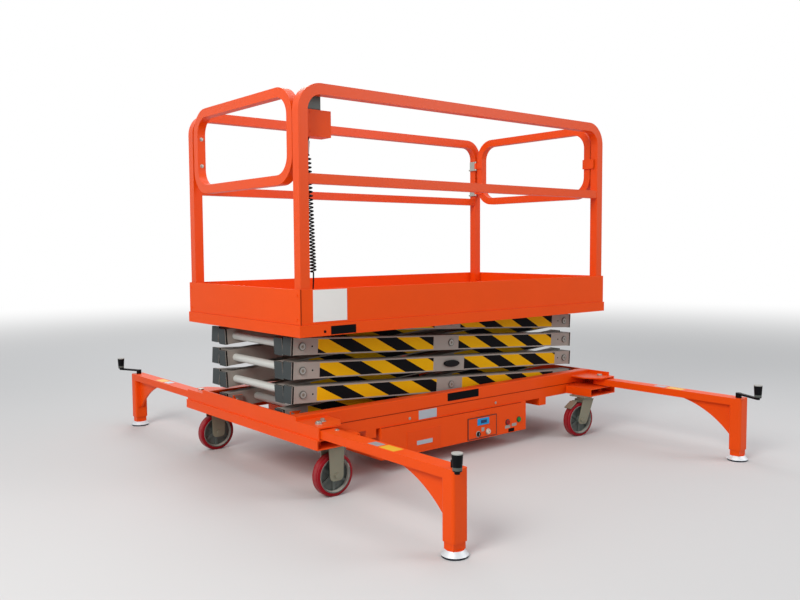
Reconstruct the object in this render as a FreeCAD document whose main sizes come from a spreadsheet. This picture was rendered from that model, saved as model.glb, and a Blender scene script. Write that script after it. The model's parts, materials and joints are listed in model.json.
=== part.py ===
import FreeCAD, Part
import math
import os
import re
import Sketcher
from FreeCAD import Placement, Rotation, Vector

doc = FreeCAD.newDocument("ScissorLift")

# Driving dimensions, millimetres and degrees. Columns: alias, value, meaning.
DRIVING = [
    ("deck_length", 2210, "platform, over its folded edge"),
    ("deck_width", 1116, "platform, over its folded edge"),
    ("deck_plate", 4, "floor sheet of the platform"),
    ("deck_clearance", 9, "air between the top arms and the floor sheet"),
    ("edge_drop", 52, "folded edge below the top hinge line"),
    ("edge_height", 55, "folded edge of the deck"),
    ("edge_wall", 6, "folded edge of the deck"),
    ("bracket_inset", 205, "outermost brackets under the floor's edge from its ends"),
    ("bracket_gaps", 6, "number of gaps between the brackets of a side"),
    ("bracket_size", 40, "brackets under the floor's edge"),
    ("toe_height", 160, "toe board sheet"),
    ("toe_wall", 5, "toe board sheet"),
    ("toe_inset", 5, "toe board behind the folded edge"),
    ("post_tube", 50, "square tube of the long guard rails"),
    ("post_inset", 2, "post behind the toe board"),
    ("post_setback", 5, "post from the toe board's end wall"),
    ("guard_height", 1028, "top of the guard rail above the floor"),
    ("guard_bend", 100, "bend of the guard rail's top corners"),
    ("mid_height", 627, "top of the mid rail above the floor"),
    ("mid_tube", 45, "square tube of mid rail and end loops"),
    ("loop_top_drop", 5, "end loops below the guard rail's top"),
    ("loop_bend", 110, "bend of the end loops, at the tube's centre"),
    ("loop_gap", 8, "end loop from the post beside it"),
    ("spacer_radius", 9, "spacers of the fixed end loop"),
    ("spacer_place", 150, "spacers from the loop's top and foot"),
    ("gate_hinge_gap", 18, "gate from the post that it hangs on"),
    ("gate_axis_x", 5, "gate's hinge line inside the post's plane"),
    ("gate_axis_y", 10, "gate's hinge line beside the post"),
    ("gate_pin_radius", 5, "gate's hinge pins"),
    ("gate_pin_play", 0.5, "gate's hinge pins in their knuckles"),
    ("gate_pin_height", 64, "gate's hinge pins"),
    ("knuckle_radius", 9, "gate's hinge knuckles"),
    ("knuckle_height", 40, "gate's hinge knuckles"),
    ("knuckle_foot", 12, "foot of a hinge pin under its knuckle"),
    ("knuckle_gap", 1, "air between a knuckle and its foot"),
    ("leaf_wall", 4, "hinge leaves"),
    ("leaf_length", 60, "hinge leaves"),
    ("gate_hinge_low", 76, "lower gate hinge above the loop's underside"),
    ("gate_hinge_high", 252, "upper gate hinge above the loop's underside"),
    ("latch_place", 180, "gate latch plate above the loop's underside"),
    ("latch_height", 56, "gate latch plate"),
    ("latch_wall", 7, "gate latch plate"),
    ("latch_reach", 81, "gate latch plate, across"),
    ("latch_gap", 5.5, "gate latch plate from the post"),
    ("arm_short", 297, "scissor arm, hinge to hinge, less than the platform's length"),
    ("arm_depth", 80, "scissor arm tube, height"),
    ("arm_width", 70, "scissor arm tube, width"),
    ("arm_overhang", 62, "scissor arm past its end hinges"),
    ("arm_gap", 8, "between the inner and the outer arm of a side"),
    ("arm_inset", 75, "outer face of the outer arms inside the side rails"),
    ("cap_length", 20, "plastic cap on an arm's end"),
    ("cap_proud", 1.5, "plastic cap proud of the tube"),
    ("stage_rise", 114, "rise of one scissor stage when folded"),
    ("hinge_inset", 115, "fixed hinges from the platform's end"),
    ("hinge_pin_radius", 12, "hinge pins"),
    ("hinge_pin_play", 0.6, "hinge pins in their bores"),
    ("washer_radius", 19, "washer on a hinge pin's end"),
    ("washer_height", 6, "washer on a hinge pin's end"),
    ("washer_gap", 0.4, "washer beside the arm that turns on the pin"),
    ("cross_tube_radius", 20, "round cross tubes of the inner frames"),
    ("track_mid", 333, "roller track of the base, above the ground"),
    ("roller_radius", 25, "rollers"),
    ("roller_width", 42, "rollers"),
    ("roller_play", 0.3, "rollers in their tracks"),
    ("track_flange", 8, "flanges and web of the tracks"),
    ("rail_inset", 88, "base's side rails inside the platform's side"),
    ("rail_depth", 58, "side rail, across"),
    ("rail_skirt", 59, "lower fold of the side rail"),
    ("rail_step", 3, "lower fold behind the upper one"),
    ("base_short", 19, "end of the base inside the platform's end"),
    ("ear_reach", 186, "end channels past the side rails"),
    ("base_plate", 6, "plates of the end channels"),
    ("base_floor", 244, "underside of the end channels"),
    ("ledge_height", 46, "lower fold of the end channels"),
    ("channel_width", 236, "end channels, along the machine"),
    ("end_plate", 8, "upright end plates"),
    ("end_plate_step", 8, "upright end plates behind the lower fold"),
    ("end_plate_reach", 150, "right end plate past the side rails"),
    ("ear_plate", 8, "top plates over the swing arms"),
    ("ear_gap", 5, "air over a swing arm"),
    ("ear_under_gap", 5, "air under a swing arm"),
    ("ear_length", 178, "top plates, along the machine"),
    ("ear_corner_x", 58, "corner cut off a top plate, along the machine"),
    ("ear_corner_y", 85, "corner cut off a top plate, across"),
    ("cross_member_height", 44, "cross members under the rails"),
    ("cross_member_width", 60, "cross members under the rails"),
    ("box_left_gap", 182, "power box from the left cross member"),
    ("box_right_gap", 123, "power box from the right cross member"),
    ("box_bottom", 76, "power box above the ground"),
    ("box_depth", 300, "power box, across"),
    ("box_proud", 4, "power box in front of the rail"),
    ("caster_inset", 136, "rigid casters from the base's end"),
    ("caster_side_inset", 81, "casters from the end channels' ends"),
    ("swivel_inset", 191, "swivel casters from the base's end"),
    ("swivel_trail", 50, "wheel behind its swivel axis"),
    ("swivel_turn", -8, "swivel casters as they were left"),
    ("wheel_radius", 100, "caster wheels"),
    ("wheel_width", 50, "caster wheels, over the tread"),
    ("tread_depth", 17, "plastic tread"),
    ("tread_edge", 5, "slope of the tread's sides"),
    ("rim_wall", 9, "rim of the wheel's core"),
    ("web_wall", 10, "spokes of the wheel's core, across"),
    ("spoke_width", 14, "spokes of the wheel's core"),
    ("spokes", 6, "number of spokes"),
    ("hub_radius", 21, "hub of the wheel's core"),
    ("hub_width", 58, "hub of the wheel's core"),
    ("axle_radius", 7, "wheel axle"),
    ("axle_play", 0.5, "wheel axle in its hub"),
    ("fork_wall", 5, "caster fork sheet"),
    ("fork_gap", 2, "fork leg beside the hub"),
    ("fork_width", 84, "fork leg, at its top"),
    ("fork_foot_width", 70, "fork leg, at its foot"),
    ("fork_foot", 24, "fork leg, below the axle"),
    ("fork_edge", 22, "rounding of the fork leg's foot"),
    ("nut_radius", 12, "axle nuts"),
    ("nut_height", 7, "axle nuts"),
    ("pedal_place", 35, "brake pedal's upper edge behind the axle"),
    ("pedal_tilt", 35, "brake pedal, sloping down around the tread"),
    ("pedal_length", 60, "brake pedal"),
    ("pedal_width", 52, "brake pedal"),
    ("pedal_wall", 6, "brake pedal"),
    ("pedal_drop", 13, "pedal's upper edge below the fork's bridge"),
    ("pedal_stem", 24, "stem of the brake pedal, width"),
    ("caster_plate", 8, "caster top plate"),
    ("caster_plate_length", 140, "caster top plate"),
    ("caster_plate_width", 110, "caster top plate"),
    ("swivel_head_radius", 44, "ball race of a swivel caster"),
    ("swivel_head_height", 16, "ball race of a swivel caster"),
    ("swivel_head_play", 0.3, "ball race under its top plate"),
    ("swing_inset", 56, "outrigger pivots from the base's end"),
    ("swing_side_inset", 71, "outrigger pivots from the end channels' ends"),
    ("swing_reach", 887, "outrigger leg from its pivot"),
    ("swing_width", 76, "outrigger arm tube, width"),
    ("swing_height", 38, "outrigger arm tube, height"),
    ("swing_pin_radius", 10, "outrigger pivot pins"),
    ("swing_pin_play", 0.5, "outrigger pivot pins in their bores"),
    ("leg_width", 76, "outrigger leg, along the machine"),
    ("leg_depth", 66, "outrigger leg, across"),
    ("leg_wall", 4, "outrigger leg tube"),
    ("leg_edge", 12, "rounding of the leg's edges"),
    ("leg_bottom", 58, "outrigger leg above the ground"),
    ("gusset_start", 355, "gusset along the arm from the leg's middle"),
    ("gusset_foot", 60, "gusset's foot above the leg's end"),
    ("gusset_radius", 530, "curved edge of the gusset"),
    ("gusset_root", 5, "gusset let into the arm's tube"),
    ("gusset_width", 60, "gusset, along the machine"),
    ("jack_width", 62, "inner leg, along the machine"),
    ("jack_depth", 52, "inner leg, across"),
    ("jack_height", 230, "inner leg"),
    ("screw_radius", 10, "lifting screw of an outrigger"),
    ("screw_end", 130, "lower end of the screw above the ground"),
    ("screw_play", 0.3, "lifting screw in the inner leg"),
    ("screw_room", 35, "bore of the inner leg under the screw's end"),
    ("pad_radius", 53, "foot pad"),
    ("pad_neck", 36, "foot pad at its top"),
    ("pad_height", 20, "metal cone of the foot pad"),
    ("pad_rubber", 8, "rubber under the foot pad"),
    ("crank_reach", 150, "crank, from the screw to the grip"),
    ("crank_bar", 10, "crank bar, thickness"),
    ("crank_bar_width", 20, "crank bar, width"),
    ("crank_hub_radius", 15, "crank hub"),
    ("crank_hub_height", 16, "crank hub under the bar"),
    ("grip_height", 66, "crank grip"),
    ("grip_top_radius", 21, "crank grip at its top"),
    ("grip_foot_radius", 17, "crank grip at its foot"),
    ("ram_base", 350, "cylinder's base hinge from the fixed hinge"),
    ("ram_drop", 60, "cylinder's base hinge below the fixed hinge"),
    ("ram_eye_along", 1200, "rod's eye along the first inner frame"),
    ("ram_eye_drop", 20, "rod's eye below that frame's hinge line"),
    ("ram_radius", 35, "cylinder barrel"),
    ("ram_barrel", 700, "cylinder barrel from its hinge"),
    ("ram_rod_radius", 22, "cylinder rod"),
    ("ram_rod_play", 0.5, "cylinder rod in its barrel"),
    ("ram_rod_hidden", 420, "rod inside the barrel"),
    ("ram_eye_radius", 30, "eyes of the cylinder"),
    ("ram_eye_width", 40, "eyes of the cylinder"),
    ("ram_neck_radius", 18, "neck between the barrel and its eye"),
    ("ram_barrel_gap", 8, "barrel from the round ends of its lugs"),
    ("ram_gland_radius", 39, "gland ring of the barrel"),
    ("ram_gland_width", 40, "gland ring of the barrel"),
    ("ram_bore_room", 20, "bore behind the rod's hidden end"),
    ("ram_lug", 12, "lug plates beside the eyes"),
    ("ram_lug_gap", 5, "air beside the eyes"),
    ("lug_length", 54, "lug plates of the arm hinges, along the machine"),
    ("ram_tube_offset", 105, "cross tube past the rod's eye"),
    ("console_length", 145, "control box on the platform"),
    ("console_depth", 78, "control box on the platform"),
    ("console_height", 120, "control box on the platform"),
    ("console_drop", 110, "control box below the guard rail's top"),
    ("console_gap", 15, "control box from the post"),
    ("console_side_gap", 1, "control box inside the guard rail's plane"),
    ("console_strap", 36, "plate from the control box to the post"),
    ("gland_place", 40, "cord outlet from the control box's end"),
    ("gland_height", 18, "cord outlet"),
    ("gland_top", 10, "cord outlet at the box"),
    ("gland_foot", 7, "cord outlet at the cord"),
    ("head_inset", 8, "grey head behind the box's faces"),
    ("head_length", 92, "grey head of the control box"),
    ("head_height", 66, "grey head of the control box"),
    ("curl_radius", 18, "curly cord over its turns"),
    ("lead_radius", 3.5, "straight lead"),
    ("cord_start", 14, "straight cord between the outlet and its coil"),
    ("floor_gland_height", 22, "cord gland on the floor"),
    ("floor_gland_foot", 12, "cord gland at the floor"),
]

# Derived places, worked out by the sheet. Columns: alias, formula in the aliases, meaning.
DERIVED = [
    ("arm_pitch", "deck_length - arm_short", "scissor arm, hinge to hinge"),
    ("hinge_left", "deck_length / 2 - hinge_inset", "fixed hinges from the middle"),
    ("rail_face", "deck_width / 2 - rail_inset", "outer face of the side rails from the middle"),
    ("arm_face", "rail_face - arm_inset", "outer face of the outer arms from the middle"),
    ("base_half_length", "deck_length / 2 - base_short", "base, over its end channels"),
    ("base_half_width", "rail_face + ear_reach", "base, over its end channels"),
    ("cross_member_place", "hinge_left - ram_base", "cross members from the middle"),
    ("box_left", "cross_member_place - cross_member_width / 2 - box_left_gap", "power box's left end"),
    ("box_right", "cross_member_place - cross_member_width / 2 - box_right_gap", "power box's right end"),
    ("caster_place_x", "base_half_length - caster_inset", "rigid casters from the middle"),
    ("caster_place_y", "base_half_width - caster_side_inset", "casters from the middle"),
    ("swivel_place_x", "base_half_length - swivel_inset", "swivel casters from the middle"),
    ("swing_place_x", "base_half_length - swing_inset", "outriggers from the middle"),
    ("swing_place_y", "base_half_width - swing_side_inset", "outrigger pivots from the middle"),
    ("bracket_pitch", "(deck_length - 2 * bracket_inset) / bracket_gaps", "brackets under the floor's edge"),
    ("stage_run", "sqrt(arm_pitch^2 - stage_rise^2)", "folded arm, along the machine"),
    ("hinge_top", "track_mid + 4 * stage_rise", "hinge line under the platform"),
    ("arm_inner_face", "arm_face - arm_width - arm_gap", "outer face of the inner arms"),
    ("deck_under", "hinge_top + arm_depth / 2 + deck_clearance", "underside of the floor sheet"),
    ("deck_top", "deck_under + deck_plate", "floor"),
    ("edge_low", "hinge_top - edge_drop", "underside of the folded edge"),
    ("toe_low", "edge_low + edge_height", "underside of the toe boards"),
    ("toe_half_x", "deck_length / 2 - toe_inset", "toe boards, outer face"),
    ("toe_half_y", "deck_width / 2 - toe_inset", "toe boards, outer face"),
    ("post_x", "toe_half_x - toe_wall - post_setback - post_tube / 2", "posts from the middle"),
    ("post_y", "toe_half_y - toe_wall - post_inset - post_tube / 2", "posts from the middle"),
    ("guard_top", "deck_top + guard_height", "guard rail"),
    ("mid_top", "deck_top + mid_height", "mid rail"),
    ("loop_top", "guard_top - loop_top_drop", "end loops"),
    ("loop_low", "mid_top - mid_tube", "end loops"),
    ("loop_half_y", "post_y - post_tube / 2 - loop_gap", "end loops"),
    ("rail_top", "track_mid + roller_radius + roller_play + track_flange", "side rail"),
    ("rail_seam", "track_mid - roller_radius - roller_play - track_flange", "side rail"),
    ("rail_low", "rail_seam - rail_skirt", "side rail"),
    ("ledge_top", "base_floor + ledge_height", "end channel"),
    ("swing_low", "ledge_top + ear_under_gap", "outrigger arm"),
    ("swing_top", "swing_low + swing_height", "outrigger arm"),
    ("ear_low", "swing_top + ear_gap", "top plates over the swing arms"),
    ("ear_top", "ear_low + ear_plate", "top plates over the swing arms"),
    ("plate_x", "base_half_length - end_plate_step", "outer face of the end plates"),
    ("axle_half", "hub_width / 2 + fork_gap", "inner face of a fork leg"),
]

AREAS = ("Sizes", "Places")
PLAIN = {alias for alias, _, _ in DRIVING}
WORKED = {alias for alias, _, _ in DERIVED}


def bound(text):
    """An expression with each alias written with its sheet's name."""
    def full(match):
        word = match.group(0)
        if word in PLAIN:
            return AREAS[0] + "." + word
        if word in WORKED:
            return AREAS[1] + "." + word
        return word
    return re.sub(r"[a-z_]+[a-z]", full, text)


sizes = doc.addObject("Spreadsheet::Sheet", AREAS[0])
for row, (alias, value, meaning) in enumerate(DRIVING, start=1):
    sizes.set("A%d" % row, str(value))
    sizes.setAlias("A%d" % row, alias)
    sizes.set("B%d" % row, meaning)
places = doc.addObject("Spreadsheet::Sheet", AREAS[1])
doc.recompute()
for row, (alias, formula, meaning) in enumerate(DERIVED, start=1):
    text = bound(formula).replace(AREAS[1] + ".", "")
    places.set("A%d" % row, "=" + text)
    places.setAlias("A%d" % row, alias)
    places.set("B%d" % row, meaning)
doc.recompute()
n = {alias: float(sizes.get(alias)) for alias, _, _ in DRIVING}
n.update({alias: float(places.get(alias)) for alias, _, _ in DERIVED})

X = Vector(1, 0, 0)
Y = Vector(0, 1, 0)
Z = Vector(0, 0, 1)
STRAIGHT = Rotation()
ALONG_X = Rotation(Y, 90)
ALONG_Y = Rotation(X, -90)
UPRIGHT_XZ = Rotation(X, 90)
STAGES = 4
nodes = {}


def bind(obj, name, text):
    """Ties one property to the sheets."""
    obj.setExpression(name, bound(text))


def block(name, low, length, width, height):
    """A plate or bar: its lowest corner and three sizes as expressions."""
    solid = doc.addObject("Part::Box", name)
    bind(solid, "Length", length)
    bind(solid, "Width", width)
    bind(solid, "Height", height)
    solid.Placement = Placement(Vector(*low), STRAIGHT)
    return solid


def rod(name, low, radius, height, turn=STRAIGHT):
    """A round bar: the centre of its first end, radius and length as expressions."""
    solid = doc.addObject("Part::Cylinder", name)
    bind(solid, "Radius", radius)
    bind(solid, "Height", height)
    solid.Placement = Placement(Vector(*low), turn)
    return solid


def cone(name, low, first, last, height):
    """A round taper, upright: two radii and a height as expressions."""
    solid = doc.addObject("Part::Cone", name)
    bind(solid, "Radius1", first)
    bind(solid, "Radius2", last)
    bind(solid, "Height", height)
    solid.Placement = Placement(Vector(*low), STRAIGHT)
    return solid


def weld(name, pieces):
    """Several solids as one."""
    joined = doc.addObject("Part::MultiFuse", name)
    joined.Shapes = pieces
    return joined


def bundle(name, pieces):
    """Several solids of one sub-part that don't touch."""
    group = doc.addObject("Part::Compound", name)
    group.Links = pieces
    return group


def cut(name, base, tools):
    """A solid less its holes."""
    result = doc.addObject("Part::Cut", name)
    result.Base = base
    result.Tool = tools[0] if len(tools) == 1 else weld(name + "Holes", tools)
    return result


def keep(label, obj):
    """Names a finished sub-part: its label is its node's name."""
    obj.Label = label
    nodes[label] = obj
    return obj


def plane(body, role):
    """One of a body's own origin planes."""
    return [item for item in body.Origin.OriginFeatures if item.Role == role][0]


def outline(body, name, role, points):
    """A closed polygon sketch; every corner is dimensioned by two expressions."""
    sketch = body.newObject("Sketcher::SketchObject", name)
    sketch.AttachmentSupport = [(plane(body, role), "")]
    sketch.MapMode = "FlatFace"
    count = len(points)
    ring = [Vector(50 * math.cos(2 * math.pi * k / count), 50 * math.sin(2 * math.pi * k / count), 0)
            for k in range(count)]
    for k in range(count):
        sketch.addGeometry(Part.LineSegment(ring[k], ring[(k + 1) % count]), False)
    for k in range(count):
        sketch.addConstraint(Sketcher.Constraint("Coincident", k, 2, (k + 1) % count, 1))
    for k, (across, up) in enumerate(points):
        for kind, start, text in (("DistanceX", ring[k].x, across), ("DistanceY", ring[k].y, up)):
            index = sketch.addConstraint(Sketcher.Constraint(kind, -1, 1, k, 1, start))
            sketch.setExpression("Constraints[%d]" % index, bound(text))
    return sketch


def padded(body, name, sketch, length, both=False):
    """A sketch pushed out by an expression."""
    pad = body.newObject("PartDesign::Pad", name)
    pad.Profile = sketch
    bind(pad, "Length", length)
    pad.Midplane = both
    body.Tip = pad
    return pad


def turned(body, name, sketch, role):
    """A sketch revolved about one of the body's own axes."""
    solid = body.newObject("PartDesign::Revolution", name)
    solid.Profile = sketch
    solid.ReferenceAxis = (plane(body, role), [""])
    solid.Angle = 360
    body.Tip = solid
    return solid


def rounded_edges(body, pad, radius, along, wanted=lambda middle: True):
    """Rounds those straight edges of a pad that run along a direction and are wanted."""
    doc.recompute()
    names = []
    for k, edge in enumerate(pad.Shape.Edges, start=1):
        heading = edge.tangentAt(edge.FirstParameter)
        if abs(heading.dot(along)) > 0.9 and wanted(edge.CenterOfMass):
            names.append("Edge%d" % k)
    rounding = body.newObject("PartDesign::Fillet", pad.Name + "Rounding")
    rounding.Base = (pad, names)
    bind(rounding, "Radius", radius)
    body.Tip = rounding
    return rounding


def tube_path(points, bends):
    """A wire of straight runs with a round bend at each inner point."""
    edges = []
    start = points[0]
    for k in range(1, len(points) - 1):
        before = (points[k - 1] - points[k]).normalize()
        after = (points[k + 1] - points[k]).normalize()
        half = before.getAngle(after) / 2
        setback = bends[k - 1] / math.tan(half)
        first = points[k] + before * setback
        last = points[k] + after * setback
        middle = points[k] + (before + after).normalize() * (bends[k - 1] / math.sin(half) - bends[k - 1])
        edges.append(Part.LineSegment(start, first).toShape())
        edges.append(Part.Arc(first, middle, last).toShape())
        start = last
    edges.append(Part.LineSegment(start, points[-1]).toShape())
    return Part.Wire(edges)


def swept(name, path, profile):
    """A closed profile carried along a path, as one solid."""
    solid = doc.addObject("Part::Feature", name)
    solid.Shape = path.makePipeShell([profile], True, False, 2)
    return solid


def square_profile(centre, normal, across, side):
    """A square wire of one side, about a centre."""
    other = normal.cross(across)
    corners = [centre + across * (a * side / 2) + other * (b * side / 2)
               for a, b in ((-1, -1), (1, -1), (1, 1), (-1, 1), (-1, -1))]
    return Part.makePolygon(corners)


def left_hinge(level):
    return Vector(-n["hinge_left"], 0, n["track_mid"] + level * n["stage_rise"])


def right_hinge(level):
    return left_hinge(level) + Vector(n["stage_run"], 0, 0)


# Base frame: two side rails folded as roller tracks, an end channel across each end with an
# upright plate, ears over the outrigger pivots, cross members and the lugs of the first hinges.
def side_rail(side):
    body = doc.addObject("PartDesign::Body", "SideRail")
    inner = "rail_face - rail_depth"
    points = [("rail_face", "rail_seam + rail_step"), ("rail_face", "rail_top - track_flange / 2"),
              ("rail_face - track_flange / 2", "rail_top"), (inner, "rail_top"),
              (inner, "rail_top - track_flange"), ("rail_face - track_flange", "rail_top - track_flange"),
              ("rail_face - track_flange", "rail_seam + track_flange"), (inner, "rail_seam + track_flange"),
              (inner, "rail_seam"), ("rail_face - track_flange", "rail_seam"),
              ("rail_face - track_flange", "rail_low + base_plate"),
              ("rail_face - rail_depth / 2", "rail_low + base_plate"),
              ("rail_face - rail_depth / 2", "rail_low"), ("rail_face - rail_step", "rail_low"),
              ("rail_face - rail_step", "rail_seam + rail_step")]
    sketch = outline(body, "RailSection", "YZ_Plane", points)
    padded(body, "RailPad", sketch, "2 * plate_x - end_plate", both=True)
    if side < 0:
        body.Placement = Placement(Vector(0, 0, 0), Rotation(Z, 180))
    return body


def end_channel(end):
    """Lower channel, upright plate, and the ears of one end; end is -1 left or 1 right."""
    outer = n["base_half_length"]
    half = n["base_half_width"]
    wall = n["base_plate"]
    inner = outer - n["channel_width"]

    def span(first, last):
        return min(end * first, end * last)
    pieces = [
        block("Floor", (span(inner, outer), -half, n["base_floor"]),
              "channel_width", "2 * base_half_width", "base_plate"),
        block("Ledge", (span(outer - wall, outer), -half, n["base_floor"]),
              "base_plate", "2 * base_half_width", "ledge_height"),
        block("LedgeTop", (span(outer - wall - n["end_plate_step"], outer), -half, n["ledge_top"] - wall),
              "base_plate + end_plate_step", "2 * base_half_width", "base_plate"),
        block("EndPlate", (span(n["plate_x"] - n["end_plate"], n["plate_x"]), -n["rail_face"],
                           n["ledge_top"] - wall),
              "end_plate", "2 * rail_face", "rail_top - ledge_top + base_plate"),
    ]
    for side in (-1, 1):
        low_y = min(side * n["rail_face"], side * half)
        pieces += [
            block("InnerWall", (span(inner, inner + wall), low_y, n["base_floor"]),
                  "base_plate", "base_half_width - rail_face", "ledge_height"),
            block("ChannelTop", (span(inner, outer - wall), low_y, n["ledge_top"] - wall),
                  "channel_width - base_plate", "base_half_width - rail_face", "base_plate"),
            block("EarWeb", (span(n["plate_x"] - n["end_plate"], n["plate_x"]), low_y,
                             n["ledge_top"] - wall),
                  "end_plate", "base_half_width - rail_face", "ear_top - ledge_top + base_plate"),
            ear(end, side),
        ]
        if end > 0:
            low_y = min(side * n["rail_face"], side * (n["rail_face"] + n["end_plate_reach"]))
            pieces.append(block("EndPlateEar", (n["plate_x"] - n["end_plate"], low_y, n["ear_low"]),
                                "end_plate", "end_plate_reach", "rail_top - ear_low"))
        pin = Vector(end * n["swing_place_x"], side * n["swing_place_y"], n["base_floor"])
        pieces.append(rod("SwingPin", pin, "swing_pin_radius", "ear_top - base_floor"))
        head = Vector(pin.x, pin.y, n["ear_top"])
        pieces.append(rod("SwingPinHead", head, "swing_pin_radius * 1.6", "ear_plate"))
    return pieces


def ear(end, side):
    """Top plate over an outrigger's pivot, with its inner corner cut off."""
    body = doc.addObject("PartDesign::Body", "Ear")
    far = "plate_x - ear_length"
    sketch = outline(body, "EarOutline", "XY_Plane", [
        ("plate_x", "rail_face"), ("plate_x", "base_half_width"),
        (far + " + ear_corner_x", "base_half_width"), (far, "base_half_width - ear_corner_y"),
        (far, "rail_face")])
    padded(body, "EarPad", sketch, "ear_plate")
    body.Placement = Placement(Vector(0, 0, n["ear_low"]), Rotation(Z, 0 if end > 0 else 180))
    if end * side > 0:
        return body
    mirrored = doc.addObject("Part::Mirroring", "EarMirrored")
    mirrored.Source = body
    mirrored.Normal = Y
    return mirrored


def hinge_lugs(centre, arm_low, foot):
    """Two lug plates and a pin around one arm on each side; foot is the level they stand on."""
    pieces = []
    depth = n["lug_length"]
    gap = n["ram_lug_gap"]
    reach = abs(centre.z - foot) + depth / 2
    bottom = foot if centre.z > foot else foot - reach
    for side in (-1, 1):
        for face in (arm_low - gap - n["ram_lug"], arm_low + n["arm_width"] + gap):
            low = min(side * face, side * (face + n["ram_lug"]))
            pieces.append(block("Lug", (centre.x - depth / 2, low, bottom),
                                "lug_length", "ram_lug", str(reach)))
        first = arm_low - gap - n["ram_lug"] - n["washer_height"]
        last = arm_low + n["arm_width"] + gap + n["ram_lug"] + n["washer_height"]
        pieces.append(rod("LugPin", (centre.x, min(side * first, side * last), centre.z), "hinge_pin_radius",
                          "arm_width + 2 * ram_lug_gap + 2 * ram_lug + 2 * washer_height", ALONG_Y))
    return pieces


def base_frame():
    pieces = [side_rail(-1), side_rail(1)] + end_channel(-1) + end_channel(1)
    for place in (-1, 1):
        pieces.append(block("CrossMember",
                            (place * n["cross_member_place"] - n["cross_member_width"] / 2,
                             -n["rail_face"] + n["rail_step"], n["rail_low"] - n["cross_member_height"]),
                            "cross_member_width", "2 * (rail_face - rail_step)", "cross_member_height"))
    pieces += hinge_lugs(left_hinge(0), n["arm_inner_face"] - n["arm_width"], n["base_floor"])
    eye = ram_foot()
    for side in (-1, 1):
        face = n["ram_eye_width"] / 2 + n["ram_lug_gap"]
        low = min(side * face, side * (face + n["ram_lug"]))
        foot = n["rail_low"] - n["cross_member_height"]
        pieces.append(block("RamLug", (eye.x - n["ram_eye_radius"], low, foot),
                            "ram_eye_radius * 2", "ram_lug", str(eye.z - foot)))
        pieces.append(rod("RamLugTop", (eye.x, low, eye.z), "ram_eye_radius", "ram_lug", ALONG_Y))
    pieces.append(rod("RamPin", (eye.x, -n["ram_eye_width"] / 2 - n["ram_lug_gap"] - n["ram_lug"], eye.z),
                      "hinge_pin_radius", "ram_eye_width + 2 * ram_lug_gap + 2 * ram_lug", ALONG_Y))
    return keep("base_frame", weld("BaseFrame", pieces))


def ram_foot():
    """The cylinder's base hinge."""
    return left_hinge(0) + Vector(n["ram_base"], 0, -n["ram_drop"])


def fold_direction():
    """The direction of a folded inner arm and its upward normal."""
    along = (right_hinge(1) - left_hinge(0)).normalize()
    return along, Vector(-along.z, 0, along.x)


def ram_head():
    """The rod's eye when folded."""
    along, normal = fold_direction()
    return left_hinge(0) + along * n["ram_eye_along"] - normal * n["ram_eye_drop"]


# Power box: the pump and battery housing hung under the near rail, and what shows on its front.
def power_box():
    front = -n["rail_face"] - n["box_proud"]
    body = block("BoxShell", (-n["box_left"], front, n["box_bottom"]),
                 "box_left + box_right", "box_depth", "rail_low - box_bottom")
    keep("power_box", body)
    # Columns: part, end of the box that it is placed from, its left end from there, its rise above
    # the box's underside, length, height, how far it stands out.
    fittings = (
        ("AccessDoor", -n["box_left"], 13, 16, 230, 102, 2),
        ("ControlDoor", n["box_right"], -473, 8, 224, 118, 3),
    )
    foot = n["box_bottom"]
    doors = [block(name, (end + left, front - out, foot + rise), str(length), str(out), str(height))
             for name, end, left, rise, length, height, out in fittings]
    keep("box_doors", bundle("BoxDoors", doors))
    # Columns: button, distance from the box's right end, rise above its underside, radius, how
    # far it stands out of what it is fitted to, and how far that stands out of the box.
    buttons = (
        ("KeySwitch", 395, 32, 13, 10, 3),
        ("StopButton", 319, 36, 13, 12, 3),
        ("RedButton", 157, 64, 13, 9, 0),
        ("GreenButton", 63, 67, 13, 9, 0),
    )
    knobs = [rod(name, (n["box_right"] - inset, front - seat, foot + rise), str(radius), str(out), UPRIGHT_XZ)
             for name, inset, rise, radius, out, seat in buttons]
    keep("box_buttons", bundle("BoxButtons", knobs))


# Scissor frames. An inner frame is two square tubes joined by round cross tubes and carries the
# hinge pins; an outer pair of arms hangs on the pins' ends. Caps close the tubes' ends.
def arm(name, side_low, bores, round_ends=()):
    """One tube from hinge to hinge with capped ends, or round ones where it meets a sheet.

    bores and round_ends are distances along it: 0, or the hinge pitch.
    """
    first = 0 if 0 in round_ends else n["arm_overhang"]
    last = 0 if n["arm_pitch"] in round_ends else n["arm_overhang"]
    tube = block(name + "Tube", (-first, side_low, -n["arm_depth"] / 2),
                 "arm_pitch" + (" + arm_overhang" if first else "") + (" + arm_overhang" if last else ""),
                 "arm_width", "arm_depth")
    local = [tube]
    far_cap = n["arm_pitch"] + n["arm_overhang"] - n["cap_length"]
    for low, capped in ((-n["arm_overhang"], first), (far_cap, last)):
        if capped:
            local.append(block(name + "Cap", (low, side_low - n["cap_proud"],
                                              -n["arm_depth"] / 2 - n["cap_proud"]),
                               "cap_length", "arm_width + 2 * cap_proud", "arm_depth + 2 * cap_proud"))
    for along in round_ends:
        local.append(rod(name + "RoundEnd", (along, side_low, 0), "arm_depth / 2", "arm_width", ALONG_Y))
    solid = weld(name + "Solid", local)
    holes = [rod(name + "Bore", (along, side_low - 1, 0), "hinge_pin_radius + hinge_pin_play",
                 "arm_width + 2", ALONG_Y) for along in bores]
    return cut(name, solid, holes) if holes else solid


def posed(obj, start, end):
    """Lays a piece built along X onto the line between two hinges."""
    slope = math.degrees(math.atan2(end.z - start.z, end.x - start.x))
    obj.Placement = Placement(start, Rotation(Vector(0, -1, 0), slope))
    return obj


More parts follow.
